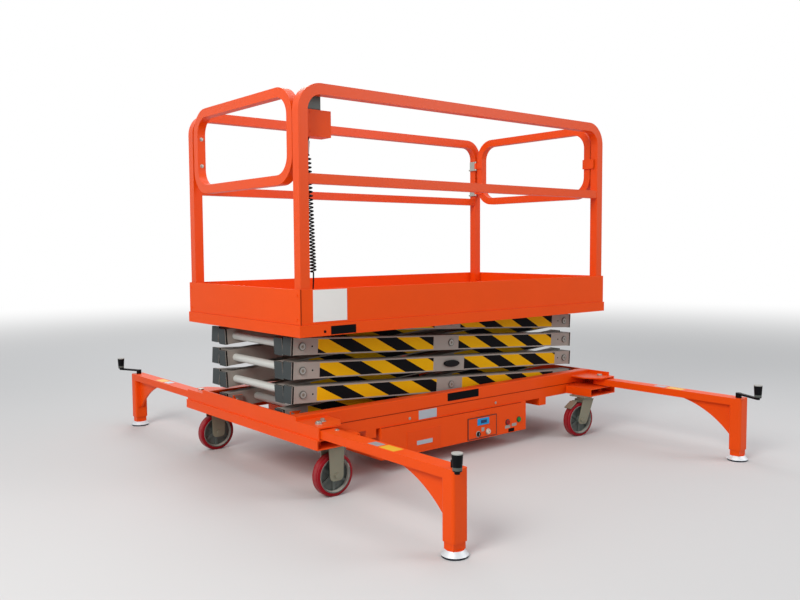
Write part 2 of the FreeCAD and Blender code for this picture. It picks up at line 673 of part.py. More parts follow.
def inner_frame(stage):
    start = left_hinge(stage - 1)
    end = right_hinge(stage)
    face = n["arm_inner_face"]
    pieces = []
    bores = [0] if stage == 1 else []
    round_ends = [n["arm_pitch"]] if stage == STAGES else []
    for side in (-1, 1):
        low = face - n["arm_width"] if side > 0 else -face
        pieces.append(arm("InnerArm", low, bores, round_ends))
    gap = "2 * (arm_inner_face - arm_width)"
    first_tube = n["arm_overhang"] * 2 if stage == 1 else 0
    tubes = [rod("CrossTube", (along, -(face - n["arm_width"]), 0), "cross_tube_radius", gap, ALONG_Y)
             for along in (first_tube, n["arm_pitch"])]
    if stage == 1:
        tubes += rod_eye_mount()
    keep("inner_tubes_%d" % stage, posed(weld("InnerTubes", tubes), start, end))
    pins = [0, n["arm_pitch"] / 2, n["arm_pitch"]]
    if stage == 1:
        pins = pins[1:]
    if stage == STAGES:
        pins = pins[:2]
    for along in pins:
        for side in (-1, 1):
            turn = ALONG_Y if side > 0 else UPRIGHT_XZ
            pieces.append(rod("Pin", (along, side * face, 0), "hinge_pin_radius",
                              "arm_face - arm_inner_face + washer_height", turn))
            pieces.append(rod("Washer", (along, side * (n["arm_face"] + n["washer_gap"]), 0), "washer_radius",
                              "washer_height - washer_gap", turn))
    if stage == STAGES:
        pieces += rollers(n["arm_pitch"], face)
    return keep("inner_frame_%d" % stage, posed(weld("InnerFrame", pieces), start, end))


def rollers(along, face):
    """Roller stubs out of an arm's end into the tracks on both sides."""
    pieces = []
    reach = n["rail_face"] - n["track_flange"] - n["roller_play"] - face
    for side in (-1, 1):
        turn = ALONG_Y if side > 0 else UPRIGHT_XZ
        stub = rod("RollerStub", (along, side * face, 0), "hinge_pin_radius", "roller_width", turn)
        stub.setExpression("Height", "%.3f" % reach)
        low = side * (face + reach - n["roller_width"])
        pieces += [stub, rod("Roller", (along, low, 0), "roller_radius", "roller_width", turn)]
    return pieces


def rod_eye_mount():
    """Cross tube of the first inner frame with the two lugs that take the rod's eye."""
    along = n["ram_eye_along"] + n["ram_tube_offset"]
    gap = "2 * (arm_inner_face - arm_width)"
    pieces = [rod("RamTube", (along, -(n["arm_inner_face"] - n["arm_width"]), -n["ram_eye_drop"] / 2),
                  "cross_tube_radius", gap, ALONG_Y)]
    face = n["ram_eye_width"] / 2 + n["ram_lug_gap"]
    for side in (-1, 1):
        low = min(side * face, side * (face + n["ram_lug"]))
        plate = block("EyeLug", (n["ram_eye_along"] - n["ram_eye_radius"], low,
                                 -n["ram_eye_drop"] - n["ram_eye_radius"]),
                      "ram_tube_offset + ram_eye_radius", "ram_lug", "2 * ram_eye_radius")
        turn = ALONG_Y if side > 0 else UPRIGHT_XZ
        head = rod("EyePinHead", (n["ram_eye_along"], side * (face + n["ram_lug"]), -n["ram_eye_drop"]),
                   "washer_radius", "washer_height", turn)
        pieces += [plate, head]
    return pieces


def outer_arms(stage):
    start = left_hinge(stage)
    end = right_hinge(stage - 1)
    pieces = []
    for side in (-1, 1):
        low = n["arm_face"] - n["arm_width"] if side > 0 else -n["arm_face"]
        bores = [0, n["arm_pitch"] / 2, n["arm_pitch"]]
        if stage == 1:
            bores = bores[:2]
        round_ends = [0] if stage == STAGES else []
        solid = arm("OuterArm", low, bores, round_ends)
        extra = rollers(n["arm_pitch"], n["arm_face"]) if stage == 1 else []
        extra = [item for item in extra if item.Placement.Base.y * side > 0]
        pieces.append(weld("OuterArmSet", [solid] + extra) if extra else solid)
    return keep("outer_arms_%d" % stage, posed(bundle("OuterPair", pieces), start, end))


# Lift cylinder between the base and the first inner frame.
def cylinder():
    foot = ram_foot()
    head = ram_head()
    slope = math.degrees(math.atan2(head.z - foot.z, head.x - foot.x))
    length = (head - foot).Length
    turn = Rotation(Vector(0, -1, 0), slope)
    eye = rod("BarrelEye", (0, -n["ram_eye_width"] / 2, 0), "ram_eye_radius", "ram_eye_width", ALONG_Y)
    neck = rod("BarrelNeck", (0, 0, 0), "ram_neck_radius", "ram_eye_radius + 2 * ram_barrel_gap", ALONG_X)
    barrel = rod("Barrel", (n["ram_eye_radius"] + n["ram_barrel_gap"], 0, 0), "ram_radius",
                 "ram_barrel - ram_eye_radius - ram_barrel_gap", ALONG_X)
    gland = rod("BarrelGland", (n["ram_barrel"] - n["ram_gland_width"], 0, 0), "ram_gland_radius",
                "ram_gland_width", ALONG_X)
    bore = rod("BarrelBore", (n["ram_barrel"] - n["ram_rod_hidden"] - n["ram_bore_room"], 0, 0),
               "ram_rod_radius + ram_rod_play", "ram_rod_hidden + 2 * ram_bore_room", ALONG_X)
    pin_bore = rod("PinBore", (0, -n["ram_eye_width"], 0), "hinge_pin_radius + hinge_pin_play",
                   "2 * ram_eye_width", ALONG_Y)
    barrel_set = cut("BarrelSet", weld("BarrelSolid", [eye, neck, barrel, gland]), [bore, pin_bore])
    barrel_set.Placement = Placement(foot, turn)
    keep("cylinder_barrel", barrel_set)
    rod_bar = doc.addObject("Part::Cylinder", "RodBar")
    bind(rod_bar, "Radius", "ram_rod_radius")
    start = n["ram_barrel"] - n["ram_rod_hidden"]
    rod_bar.Height = length - start
    rod_bar.Placement = Placement(Vector(start, 0, 0), ALONG_X)
    rod_eye = rod("RodEye", (length, -n["ram_eye_width"] / 2, 0), "ram_eye_radius", "ram_eye_width", ALONG_Y)
    rod_set = weld("RodSet", [rod_bar, rod_eye])
    rod_set.Placement = Placement(foot, turn)
    keep("cylinder_rod", rod_set)
    print("cylinder: slope %.4f deg, length %.3f mm" % (slope, length))


# Platform deck: floor sheet on cross beams inside a folded edge, roller tracks and hinge lugs.
def deck():
    length = n["deck_length"]
    width = n["deck_width"]
    wall = n["edge_wall"]
    outer = block("EdgeOuter", (-length / 2, -width / 2, n["edge_low"]),
                  "deck_length", "deck_width", "edge_height")
    inner = block("EdgeInner", (-length / 2 + wall, -width / 2 + wall, n["edge_low"] - 1),
                  "deck_length - 2 * edge_wall", "deck_width - 2 * edge_wall", "edge_height + 2")
    pieces = [cut("EdgeRing", outer, [inner])]
    reach_x = n["toe_half_x"] - n["toe_wall"]
    reach_y = n["toe_half_y"] - n["toe_wall"]
    pieces.append(block("FloorSheet", (-reach_x, -reach_y, n["deck_under"]),
                        "2 * (toe_half_x - toe_wall)", "2 * (toe_half_y - toe_wall)", "deck_plate"))
    # Folded returns that carry the floor on the edge, along both sides and both ends.
    for side in (-1, 1):
        face = reach_y - wall
        low = min(side * face, side * (face + wall))
        pieces.append(block("SideReturn", (-reach_x, low, n["edge_low"]),
                            "2 * (toe_half_x - toe_wall)", "edge_wall", "deck_under - edge_low"))
        face = reach_x - wall
        low = min(side * face, side * (face + wall))
        pieces.append(block("EndReturn", (low, -reach_y, n["edge_low"]),
                            "edge_wall", "2 * (toe_half_y - toe_wall)", "deck_under - edge_low"))
        bottom_y = min(side * (reach_y - wall), side * (width / 2 - wall / 2))
        pieces.append(block("SideFoot", (-length / 2 + wall / 2, bottom_y, n["edge_low"]),
                            "deck_length - edge_wall",
                            "deck_width / 2 + edge_wall / 2 - toe_half_y + toe_wall", "edge_wall"))
        bottom_x = min(side * (reach_x - wall), side * (length / 2 - wall / 2))
        pieces.append(block("EndFoot", (bottom_x, -width / 2 + wall / 2, n["edge_low"]),
                            "deck_length / 2 + edge_wall / 2 - toe_half_x + toe_wall",
                            "deck_width - edge_wall", "edge_wall"))
        pieces.append(deck_track(side))
    for k in range(int(n["bracket_gaps"]) + 1):
        along = (k - n["bracket_gaps"] / 2) * n["bracket_pitch"]
        for side in (-1, 1):
            low = min(side * n["rail_face"], side * (reach_y - wall))
            size = n["bracket_size"]
            corner = (along - size / 2, low, n["deck_under"] - size)
            pieces.append(block("SideBracket", corner, "bracket_size",
                                "toe_half_y - toe_wall - edge_wall - rail_face", "bracket_size"))
    pieces += hinge_lugs(left_hinge(STAGES), n["arm_face"] - n["arm_width"], n["deck_under"])
    return keep("deck", weld("Deck", pieces))


def deck_track(side):
    """Channel under the floor that the top rollers run in."""
    body = doc.addObject("PartDesign::Body", "DeckTrack")
    inner = "rail_face - rail_depth"
    top = "hinge_top + roller_radius + roller_play"
    low = "hinge_top - roller_radius - roller_play"
    points = [("rail_face", low + " - track_flange"), ("rail_face", "deck_under"),
              ("rail_face - track_flange", "deck_under"),
              ("rail_face - track_flange", top + " + track_flange"), (inner, top + " + track_flange"),
              (inner, top), ("rail_face - track_flange", top), ("rail_face - track_flange", low),
              (inner, low), (inner, low + " - track_flange")]
    sketch = outline(body, "TrackSection", "YZ_Plane", points)
    padded(body, "TrackPad", sketch, "2 * (toe_half_x - toe_wall - edge_wall)", both=True)
    if side < 0:
        body.Placement = Placement(Vector(0, 0, 0), Rotation(Z, 180))
    return body


def toe_boards():
    outer = block("ToeOuter", (-n["toe_half_x"], -n["toe_half_y"], n["toe_low"]),
                  "2 * toe_half_x", "2 * toe_half_y", "toe_height")
    inner = block("ToeInner", (-n["toe_half_x"] + n["toe_wall"], -n["toe_half_y"] + n["toe_wall"],
                               n["toe_low"] - 1),
                  "2 * (toe_half_x - toe_wall)", "2 * (toe_half_y - toe_wall)", "toe_height + 2")
    return keep("toe_boards", cut("ToeBoards", outer, [inner]))


# Guard rails of bent square tube: one inverted U with a mid rail along each side.
def side_guard(label, side):
    top = n["guard_top"] - n["post_tube"] / 2
    y = side * n["post_y"]
    corners = [Vector(-n["post_x"], y, n["deck_top"]), Vector(-n["post_x"], y, top),
               Vector(n["post_x"], y, top), Vector(n["post_x"], y, n["deck_top"])]
    path = tube_path(corners, [n["guard_bend"], n["guard_bend"]])
    hoop = swept("Hoop", path, square_profile(corners[0], Z, X, n["post_tube"]))
    corner = (-n["post_x"] + n["post_tube"] / 2 - 1, y - n["mid_tube"] / 2, n["mid_top"] - n["mid_tube"])
    mid = block("MidRail", corner, "2 * post_x - post_tube + 2", "mid_tube", "mid_tube")
    return keep(label, weld("SideGuard", [hoop, mid]))


def loop(x, low_y, high_y):
    """A closed loop of square tube across the platform's end."""
    half = n["mid_tube"] / 2
    a, b = low_y + half, high_y - half
    c, d = n["loop_low"] + half, n["loop_top"] - half
    start = Vector(x, (a + b) / 2, c)
    corners = [start, Vector(x, b, c), Vector(x, b, d), Vector(x, a, d), Vector(x, a, c), start]
    path = tube_path(corners, [n["loop_bend"]] * 4)
    return swept("Loop", path, square_profile(start, Y, X, n["mid_tube"]))


def end_guard():
    """The fixed loop at the left end, on four spacers."""
    x = -n["post_x"]
    ring = loop(x, -n["loop_half_y"], n["loop_half_y"])
    spacers = []
    for side in (-1, 1):
        for height in (n["loop_low"] + n["spacer_place"], n["loop_top"] - n["spacer_place"]):
            low = n["loop_half_y"] - 1 if side > 0 else -n["loop_half_y"] - n["loop_gap"]
            spacers.append(rod("Spacer", (x, low, height), "spacer_radius", "loop_gap + 1", ALONG_Y))
    return keep("end_guard", weld("EndGuard", [ring] + spacers))


def gate():
    """The swing gate at the right end with its hinge knuckles and latch plate."""
    x = n["post_x"]
    pieces = [loop(x, -n["loop_half_y"], n["post_y"] - n["post_tube"] / 2 - n["gate_hinge_gap"])]
    axis = hinge_axis()
    reach = x - n["mid_tube"] / 2 - axis.x + n["gate_pin_play"]
    for height in hinge_heights():
        leaf = block("GateLeaf", (axis.x, axis.y - n["leaf_length"], height), str(reach), "leaf_length",
                     "knuckle_height")
        knuckle = rod("GateKnuckle", (axis.x, axis.y, height), "knuckle_radius", "knuckle_height")
        bore = rod("GateBore", (axis.x, axis.y, height - 1),
                   "gate_pin_radius + gate_pin_play", "knuckle_height + 2")
        pieces.append(cut("GateHinge", weld("GateHingeSolid", [leaf, knuckle]), [bore]))
    face = x - n["post_tube"] / 2 - n["latch_gap"]
    far = -n["post_y"] - n["leaf_wall"]
    latch = n["loop_low"] + n["latch_place"]
    pieces.append(block("LatchPlate", (face - n["latch_wall"], far, latch), "latch_wall", "latch_reach",
                        "latch_height"))
    pieces.append(block("LatchRoot", (face - 1, -n["loop_half_y"], latch),
                        "(post_tube - mid_tube) / 2 + latch_gap + 2",
                        "latch_reach + latch_wall - loop_gap - post_tube", "latch_height"))
    return keep("gate", weld("Gate", pieces))


def hinge_heights():
    """Where the gate's two knuckles start."""
    return [n["loop_low"] + n[place] for place in ("gate_hinge_low", "gate_hinge_high")]


def hinge_axis():
    """The gate's vertical hinge line, inside the platform's far right post."""
    return Vector(n["post_x"] - n["post_tube"] / 2 - n["gate_axis_x"],
                  n["post_y"] - n["post_tube"] / 2 - n["gate_axis_y"], 0)


def gate_hinges():
    """The leaves and pins of the gate's hinges, on the post."""
    axis = hinge_axis()
    pieces = []
    half = n["knuckle_radius"]
    for height in hinge_heights():
        foot = height - n["knuckle_foot"]
        leaf = block("PostLeaf", (axis.x - half, axis.y, foot), "gate_axis_x + knuckle_radius", "leaf_length",
                     "knuckle_foot - knuckle_gap")
        pin = rod("HingePin", (axis.x, axis.y, foot), "gate_pin_radius", "gate_pin_height")
        boss = rod("HingeBoss", (axis.x, axis.y, foot), "knuckle_radius", "knuckle_foot - knuckle_gap")
        corner = (axis.x + n["gate_axis_x"] - n["leaf_wall"], axis.y + n["gate_axis_y"], foot)
        back = block("PostBack", corner, "leaf_wall", "leaf_length - gate_axis_y", "gate_pin_height")
        pieces.append(weld("PostHinge", [leaf, pin, boss, back]))
    return keep("gate_hinges", bundle("GateHinges", pieces))


# Control box on the near left post, with its grey head, and the cord that leaves it.
def console():
    x = -n["post_x"] + n["post_tube"] / 2 + n["console_gap"]
    y = -n["post_y"] + n["post_tube"] / 2 + n["console_side_gap"]
    top = n["guard_top"] - n["console_drop"]
    low = top - n["console_height"]
    shell = block("ConsoleShell", (x, y, low), "console_length", "console_depth", "console_height")
    strap = block("ConsoleStrap", (x - n["console_gap"], y - n["post_tube"] / 2, low + n["console_gap"]),
                  "console_gap + 1", "post_tube / 2 + console_depth / 2", "console_strap")
    outlet = Vector(x + n["gland_place"], y + n["console_depth"] / 2, low - n["gland_height"])
    gland = cone("ConsoleGland", outlet, "gland_foot", "gland_top", "gland_height")
    keep("console", weld("Console", [shell, strap, gland]))
    head = block("ConsoleHeadShell", (x + n["head_inset"] / 2, y + n["head_inset"], top),
                 "head_length", "console_depth - 2 * head_inset", "head_height")
    keep("console_head", head)
    return outlet


def cord(exit_point):
    """The curly cord as one fat tube and its straight lead down to the floor."""
    top = exit_point - Vector(0, 0, n["cord_start"])
    bottom = exit_point + CORD_FALL
    direction = bottom - top
    coil = rod("CurlyCord", top, "curl_radius", str(direction.Length), Rotation(Z, direction))
    keep("cord_coil", coil)
    upper = rod("CordTop", top, "lead_radius", "cord_start")
    floor = Vector(bottom.x - FLOOR_STEP, bottom.y, n["deck_top"] + n["floor_gland_height"])
    middle = bottom + (floor - bottom) * 0.5 + LEAD_BOW
    angle = (bottom - middle).getAngle(floor - middle)
    bend = 0.45 * (floor - middle).Length / math.tan((math.pi - angle) / 2)
    path = tube_path([bottom, middle, floor], [bend])
    circle = Part.Wire(Part.makeCircle(n["lead_radius"], bottom, middle - bottom))
    lead = swept("CordLead", path, circle)
    keep("cord_lead", bundle("Lead", [upper, lead]))
    socket = cone("FloorGlandCone", (floor.x, floor.y, n["deck_top"]), "floor_gland_foot", "gland_foot",
                  "floor_gland_height")
    keep("floor_gland", socket)
    print("cord: coil %.1f mm, lead %.1f mm, bend radius %.1f mm" % (direction.Length, path.Length, bend))


# From the control box's outlet to the coil's lower end, the floor gland's step back from there,
# and how far the straight lead bows out halfway.
CORD_FALL = Vector(14, 6, -600)
FLOOR_STEP = 6
LEAD_BOW = Vector(4, 3, 0)


# Casters in their own frame: origin on the ground under the swivel axis, wheel trailing to -X.
def fork(label, place, turn, trail):
    hub = n["wheel_radius"]
    top = n["base_floor"] - n["caster_plate"]
    bridge = top - (n["swivel_head_height"] if trail else 0)
    pieces = []
    plate = block("TopPlate", (-n["caster_plate_length"] / 2, -n["caster_plate_width"] / 2, top),
                  "caster_plate_length", "caster_plate_width", "caster_plate")
    half = n["fork_width"] / 2
    for side in (-1, 1):
        body = doc.addObject("PartDesign::Body", "ForkLeg")
        points = [("fork_width / 2", "%.3f" % bridge), ("-fork_width / 2", "%.3f" % bridge),
                  ("-%.3f - fork_foot_width / 2" % trail, "wheel_radius - fork_foot"),
                  ("fork_foot_width / 2 - %.3f" % trail, "wheel_radius - fork_foot")]
        sketch = outline(body, "LegOutline", "XZ_Plane", points)
        pad = padded(body, "LegPad", sketch, "fork_wall")
        rounded_edges(body, pad, "fork_edge", Y, lambda middle: middle.z < n["wheel_radius"])
        low = n["axle_half"] if side > 0 else -n["axle_half"] - n["fork_wall"]
        body.Placement = Placement(Vector(0, low + n["fork_wall"], 0), STRAIGHT)
        pieces.append(body)
    pieces.append(block("Bridge", (-half, -n["axle_half"] - n["fork_wall"], bridge - n["fork_wall"]),
                        "fork_width", "2 * (axle_half + fork_wall)", "fork_wall"))
    face = n["axle_half"] + n["fork_wall"]
    pieces.append(rod("Axle", (-trail, -face - n["nut_height"], hub), "axle_radius",
                      "2 * (axle_half + fork_wall + nut_height)", ALONG_Y))
    for low in (-face - n["nut_height"], face):
        pieces.append(rod("AxleNut", (-trail, low, hub), "nut_radius", "nut_height", ALONG_Y))
    if trail:
        pieces.append(rod("Race", (0, 0, bridge), "swivel_head_radius",
                          "swivel_head_height - swivel_head_play"))
        pedal = block("BrakePedal", (0, 0, 0), "pedal_length", "pedal_width", "pedal_wall")
        edge = Vector(-trail - n["pedal_place"], 0, bridge - n["pedal_drop"])
        pedal.Placement = Placement(edge, Rotation(Y, -n["pedal_tilt"])).multiply(
            Placement(Vector(-n["pedal_length"], -n["pedal_width"] / 2, 0), STRAIGHT))
        stem = (edge.x - n["pedal_wall"], -n["pedal_stem"] / 2, edge.z)
        pieces += [pedal, block("BrakeArm", stem, "pedal_place + pedal_wall + swivel_trail", "pedal_stem",
                                "pedal_drop - fork_wall + 1")]
    else:
        pieces.append(plate)
    solid = weld("Fork", pieces)
    solid.Placement = Placement(place, Rotation(Z, turn))
    keep(label, solid)
    if trail:
        corner = Vector(-n["caster_plate_length"] / 2, -n["caster_plate_width"] / 2, top)
        plate.Placement = Placement(place + corner, STRAIGHT)
        return plate
    return None


def wheel(name, place, turn, trail):
    """A cast core with spokes, and the plastic tread around it."""
    placed = Placement(place, Rotation(Z, turn)).multiply(
        Placement(Vector(-trail, 0, n["wheel_radius"]), STRAIGHT))
    core_radius = "wheel_radius - tread_depth"
    body = doc.addObject("PartDesign::Body", "Core")
    rim = outline(body, "RimSection", "YZ_Plane", [
        ("-wheel_width / 2", core_radius), ("-wheel_width / 2", core_radius + " - rim_wall / 2"),
        ("-web_wall", core_radius + " - rim_wall"), ("web_wall", core_radius + " - rim_wall"),
        ("wheel_width / 2", core_radius + " - rim_wall / 2"), ("wheel_width / 2", core_radius)])
    turned(body, "Rim", rim, "Y_Axis")
    hub = rod("Hub", (0, -n["hub_width"] / 2, 0), "hub_radius", "hub_width", ALONG_Y)
    spokes = []
    count = int(n["spokes"])
    for k in range(count):
        spoke = block("Spoke", (0, 0, 0),
                      "wheel_radius - tread_depth - rim_wall / 2", "2 * web_wall", "spoke_width")
        angle = 360.0 / count * (k + 0.5)
        spoke.Placement = Placement(Vector(0, 0, 0), Rotation(Y, angle)).multiply(
            Placement(Vector(0, -n["web_wall"], -n["spoke_width"] / 2), STRAIGHT))
        spokes.append(spoke)
    disc = rod("Disc", (0, -n["web_wall"] / 4, 0), "wheel_radius - tread_depth - rim_wall / 2",
               "web_wall / 2", ALONG_Y)
    bore = rod("HubBore", (0, -n["hub_width"], 0), "axle_radius + axle_play", "2 * hub_width", ALONG_Y)
    core = cut("CoreSolid", weld("CoreJoined", [body, hub, disc] + spokes), [bore])
    core.Placement = placed
    keep(name + "_core", core)
    tread_body = doc.addObject("PartDesign::Body", "Tread")
    section = outline(tread_body, "TreadSection", "YZ_Plane", [
        ("-wheel_width / 2", core_radius), ("-wheel_width / 2 + tread_edge", "wheel_radius"),
        ("wheel_width / 2 - tread_edge", "wheel_radius"), ("wheel_width / 2", core_radius)])
    turned(tread_body, "TreadRing", section, "Y_Axis")
    tread_body.Placement = placed
    keep(name + "_tread", tread_body)


# Outrigger in its own frame: origin at the pivot on the ground, arm along +Y.
def outrigger(label, place, turn):
    reach = n["swing_reach"]
    half = n["swing_width"] / 2
    tube = block("SwingTube", (-half, 0, n["swing_low"]), "swing_width", "swing_reach", "swing_height")
    nose = rod("SwingNose", (0, 0, n["swing_low"]), "swing_width / 2", "swing_height")
    leg = doc.addObject("PartDesign::Body", "Leg")
    outer = outline(leg, "LegSection", "XY_Plane", [
        ("-leg_width / 2", "-leg_depth / 2"), ("leg_width / 2", "-leg_depth / 2"),
        ("leg_width / 2", "leg_depth / 2"), ("-leg_width / 2", "leg_depth / 2")])
    pad = padded(leg, "LegPad", outer, "swing_top - leg_bottom")
    rounded_edges(leg, pad, "leg_edge", Z)
    leg.Placement = Placement(Vector(0, reach, n["leg_bottom"]), STRAIGHT)
    wall = n["leg_wall"]
    low_corner = (-n["leg_width"] / 2 + wall, reach - n["leg_depth"] / 2 + wall, n["leg_bottom"] - 1)
    inside = block("LegBore", low_corner, "leg_width - 2 * leg_wall", "leg_depth - 2 * leg_wall",
                   "swing_low - leg_bottom - leg_wall")
    gusset = doc.addObject("PartDesign::Body", "Gusset")
    sketch = gusset.newObject("Sketcher::SketchObject", "GussetSide")
    sketch.AttachmentSupport = [(plane(gusset, "YZ_Plane"), "")]
    sketch.MapMode = "FlatFace"
    start_y = reach - n["gusset_start"]
    foot_y = reach - n["leg_depth"] / 2
    foot_z = n["leg_bottom"] + n["gusset_foot"]
    top_z = n["swing_low"]
    first = Vector(start_y, top_z, 0)
    last = Vector(foot_y, foot_z, 0)
    chord = last - first
    normal = Vector(-chord.y, chord.x, 0).normalize()
    radius = n["gusset_radius"]
    sag = radius - math.sqrt(radius ** 2 - (chord.Length / 2) ** 2)
    middle = first + chord * 0.5 + normal * sag
    inner_x = foot_y + n["leg_wall"]
    inner_y = top_z + n["gusset_root"]
    sketch.addGeometry(Part.Arc(first, middle, last), False)
    corners = [last, Vector(inner_x, last.y, 0), Vector(inner_x, inner_y, 0),
               Vector(first.x, inner_y, 0), first]
    for a, b in zip(corners, corners[1:]):
        sketch.addGeometry(Part.LineSegment(a, b), False)
    padded(gusset, "GussetPad", sketch, "gusset_width", both=True)
    bore = rod("SwingBore", (0, 0, n["swing_low"] - 1),
               "swing_pin_radius + swing_pin_play", "swing_height + 2")
    screw = rod("Screw", (0, reach, n["screw_end"]), "screw_radius", "swing_low - screw_end")
    shell = cut("SwingShell", weld("SwingSolid", [tube, nose, leg, gusset]), [inside, bore])
    solid = weld("Swing", [shell, screw])
    solid.Placement = Placement(place, Rotation(Z, turn))
    return keep(label, solid)


def jack(label, place, turn):
    """The inner leg and its foot pad."""
    low = n["pad_rubber"] + n["pad_height"]
    column = block("InnerLeg", (-n["jack_width"] / 2, n["swing_reach"] - n["jack_depth"] / 2, low),
                   "jack_width", "jack_depth", "jack_height")
    pad = cone("Pad", (0, n["swing_reach"], n["pad_rubber"]), "pad_radius", "pad_neck", "pad_height")
    rubber = rod("PadRubber", (0, n["swing_reach"], 0), "pad_radius - 3", "pad_rubber")
    bore = rod("ScrewBore", (0, n["swing_reach"], n["screw_end"] - n["screw_room"]),
               "screw_radius + screw_play", "jack_height")
    solid = cut("Jack", weld("JackSolid", [column, pad, rubber]), [bore])
    solid.Placement = Placement(place, Rotation(Z, turn))
    return keep(label, solid)


def crank(label, place, turn, heading):
    """A flat bar with an upright conical grip, on the screw's head."""
    top = n["swing_top"]
    centre = Placement(place, Rotation(Z, turn)).multVec(Vector(0, n["swing_reach"], top))
    hub = rod("CrankHub", (0, 0, 0), "crank_hub_radius", "crank_hub_height + crank_bar")
    bar = block("CrankBar", (0, -n["crank_bar_width"] / 2, n["crank_hub_height"]),
                "crank_reach", "crank_bar_width", "crank_bar")
    tip = rod("CrankTip", (n["crank_reach"], 0, n["crank_hub_height"]), "crank_bar_width / 2", "crank_bar")
    grip = cone("Grip", (n["crank_reach"], 0, n["crank_hub_height"] + n["crank_bar"]),
                "grip_foot_radius", "grip_top_radius", "grip_height")
    solid = weld("Crank", [hub, bar, tip, grip])
    solid.Placement = Placement(centre, Rotation(Z, heading))
    return keep(label, solid)


base_frame()
power_box()
for stage in range(1, STAGES + 1):
    inner_frame(stage)
    outer_arms(stage)
cylinder()
deck()
toe_boards()
side_guard("near_guard", -1)
side_guard("far_guard", 1)
end_guard()
gate()
gate_hinges()
cord(console())

# Columns: corner, side of the machine along X, across Y, the crank's heading when seen from above.
CORNERS = (
    ("near_left", -1, -1, 230),
    ("far_left", -1, 1, 115),
    ("near_right", 1, -1, 245),
    ("far_right", 1, 1, 50),
)
swivel_plates = []
for corner, end, side, heading in CORNERS:
    rigid = end < 0
    x = -n["caster_place_x"] if rigid else n["swivel_place_x"]
    place = Vector(x, side * n["caster_place_y"], 0)
    turn = 0 if rigid else n["swivel_turn"]
    trail = 0 if rigid else n["swivel_trail"]
    plate = fork(corner + "_fork", place, turn, trail)
    if plate:
        swivel_plates.append(plate)
    wheel(corner, place, turn, trail)
    pivot = Vector(end * n["swing_place_x"], side * n["swing_place_y"], 0)
    swing = 180 if side < 0 else 0
    outrigger(corner + "_outrigger", pivot, swing)
    jack(corner + "_jack", pivot, swing)
    crank(corner + "_crank", pivot, swing, heading)
keep("swivel_plates", bundle("SwivelPlates", swivel_plates))

doc.recompute()
for obj in doc.Objects:
    if "Invalid" in obj.State or "Error" in obj.State:
        raise SystemExit("%s (%s) did not build: %s" % (obj.Name, obj.Label, obj.State))
os.makedirs("parts", exist_ok=True)
for label, obj in nodes.items():
    shape = obj.Shape
    if shape.isNull() or not shape.isValid():
        raise SystemExit("%s has no valid shape" % label)
    if not shape.Solids:
        raise SystemExit("%s has no solid" % label)
    shape.exportStep("parts/%s.step" % label)
box = Part.makeCompound([obj.Shape for obj in nodes.values()]).BoundBox
print("%d sub-parts, box %s" % (len(nodes), box))
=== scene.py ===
import json
import math
import bpy
from mathutils import Matrix, Vector

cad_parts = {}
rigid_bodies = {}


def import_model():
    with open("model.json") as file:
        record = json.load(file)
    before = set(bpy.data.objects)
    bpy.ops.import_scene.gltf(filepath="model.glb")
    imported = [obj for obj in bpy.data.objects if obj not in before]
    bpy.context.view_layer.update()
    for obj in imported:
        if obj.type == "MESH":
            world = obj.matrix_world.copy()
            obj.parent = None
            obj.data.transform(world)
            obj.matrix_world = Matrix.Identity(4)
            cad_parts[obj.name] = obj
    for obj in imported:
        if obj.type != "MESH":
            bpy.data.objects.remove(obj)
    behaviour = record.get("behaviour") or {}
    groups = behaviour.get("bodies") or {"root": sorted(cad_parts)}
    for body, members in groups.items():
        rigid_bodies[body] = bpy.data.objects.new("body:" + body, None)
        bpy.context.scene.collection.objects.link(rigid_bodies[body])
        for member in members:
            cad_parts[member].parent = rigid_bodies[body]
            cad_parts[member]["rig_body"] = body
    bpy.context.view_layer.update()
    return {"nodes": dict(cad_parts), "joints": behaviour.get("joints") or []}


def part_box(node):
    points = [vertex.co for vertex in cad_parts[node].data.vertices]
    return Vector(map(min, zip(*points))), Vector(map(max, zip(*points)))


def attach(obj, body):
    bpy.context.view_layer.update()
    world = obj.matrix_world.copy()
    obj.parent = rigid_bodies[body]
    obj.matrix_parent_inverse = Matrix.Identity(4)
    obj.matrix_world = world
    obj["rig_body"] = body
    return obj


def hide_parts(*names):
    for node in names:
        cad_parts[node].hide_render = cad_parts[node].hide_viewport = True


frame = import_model()

# Studio. The machine is looked at from the corner of its control box, a little above the middle
# of its platform, on a pale floor under wide soft lamps.
CAMERA_PLACE = Vector((-3.060, -3.612, 1.144))
CAMERA_HEADING = math.radians(50.33)
CAMERA_DOWN = math.radians(3.81)
CAMERA_ROLL = math.radians(-0.36)
PHOTO_WIDTH = 800
FOCUS_IN_PIXELS = 815.9
SENSOR = 36.0
# Columns: lamp, place, size, watts, colour; every lamp looks at the middle of the machine.
LAMPS = (
    ("key", (-6.2, -2.4, 4.6), 3.6, 330, (1.0, 0.985, 0.95)),
    ("fill", (3.4, -4.8, 3.4), 3.4, 90, (0.97, 0.98, 1.0)),
    ("rim", (1.5, 5.2, 4.6), 3.2, 90, (0.96, 0.98, 1.0)),
    ("top", (0.0, 0.0, 6.0), 4.5, 110, (1.0, 1.0, 1.0)),
)
LAMP_AIM = Vector((0, 0, 0.9))
WHITE = (1, 1, 1, 1)
SKY_COLOUR = (0.93, 0.96, 1.0, 1)
SKY_STRENGTH = 0.42
FLOOR_SIZE = 80.0
FLOOR_GREY = (0.62, 0.62, 0.62, 1)
FLOOR_ROUGHNESS = 0.9
FLOOR_SPECULAR = 0.1
# Between these distances from its middle the grey floor turns white.
FADE_START = 3.0
FADE_END = 13.0


def deselect():
    bpy.ops.object.select_all(action="DESELECT")


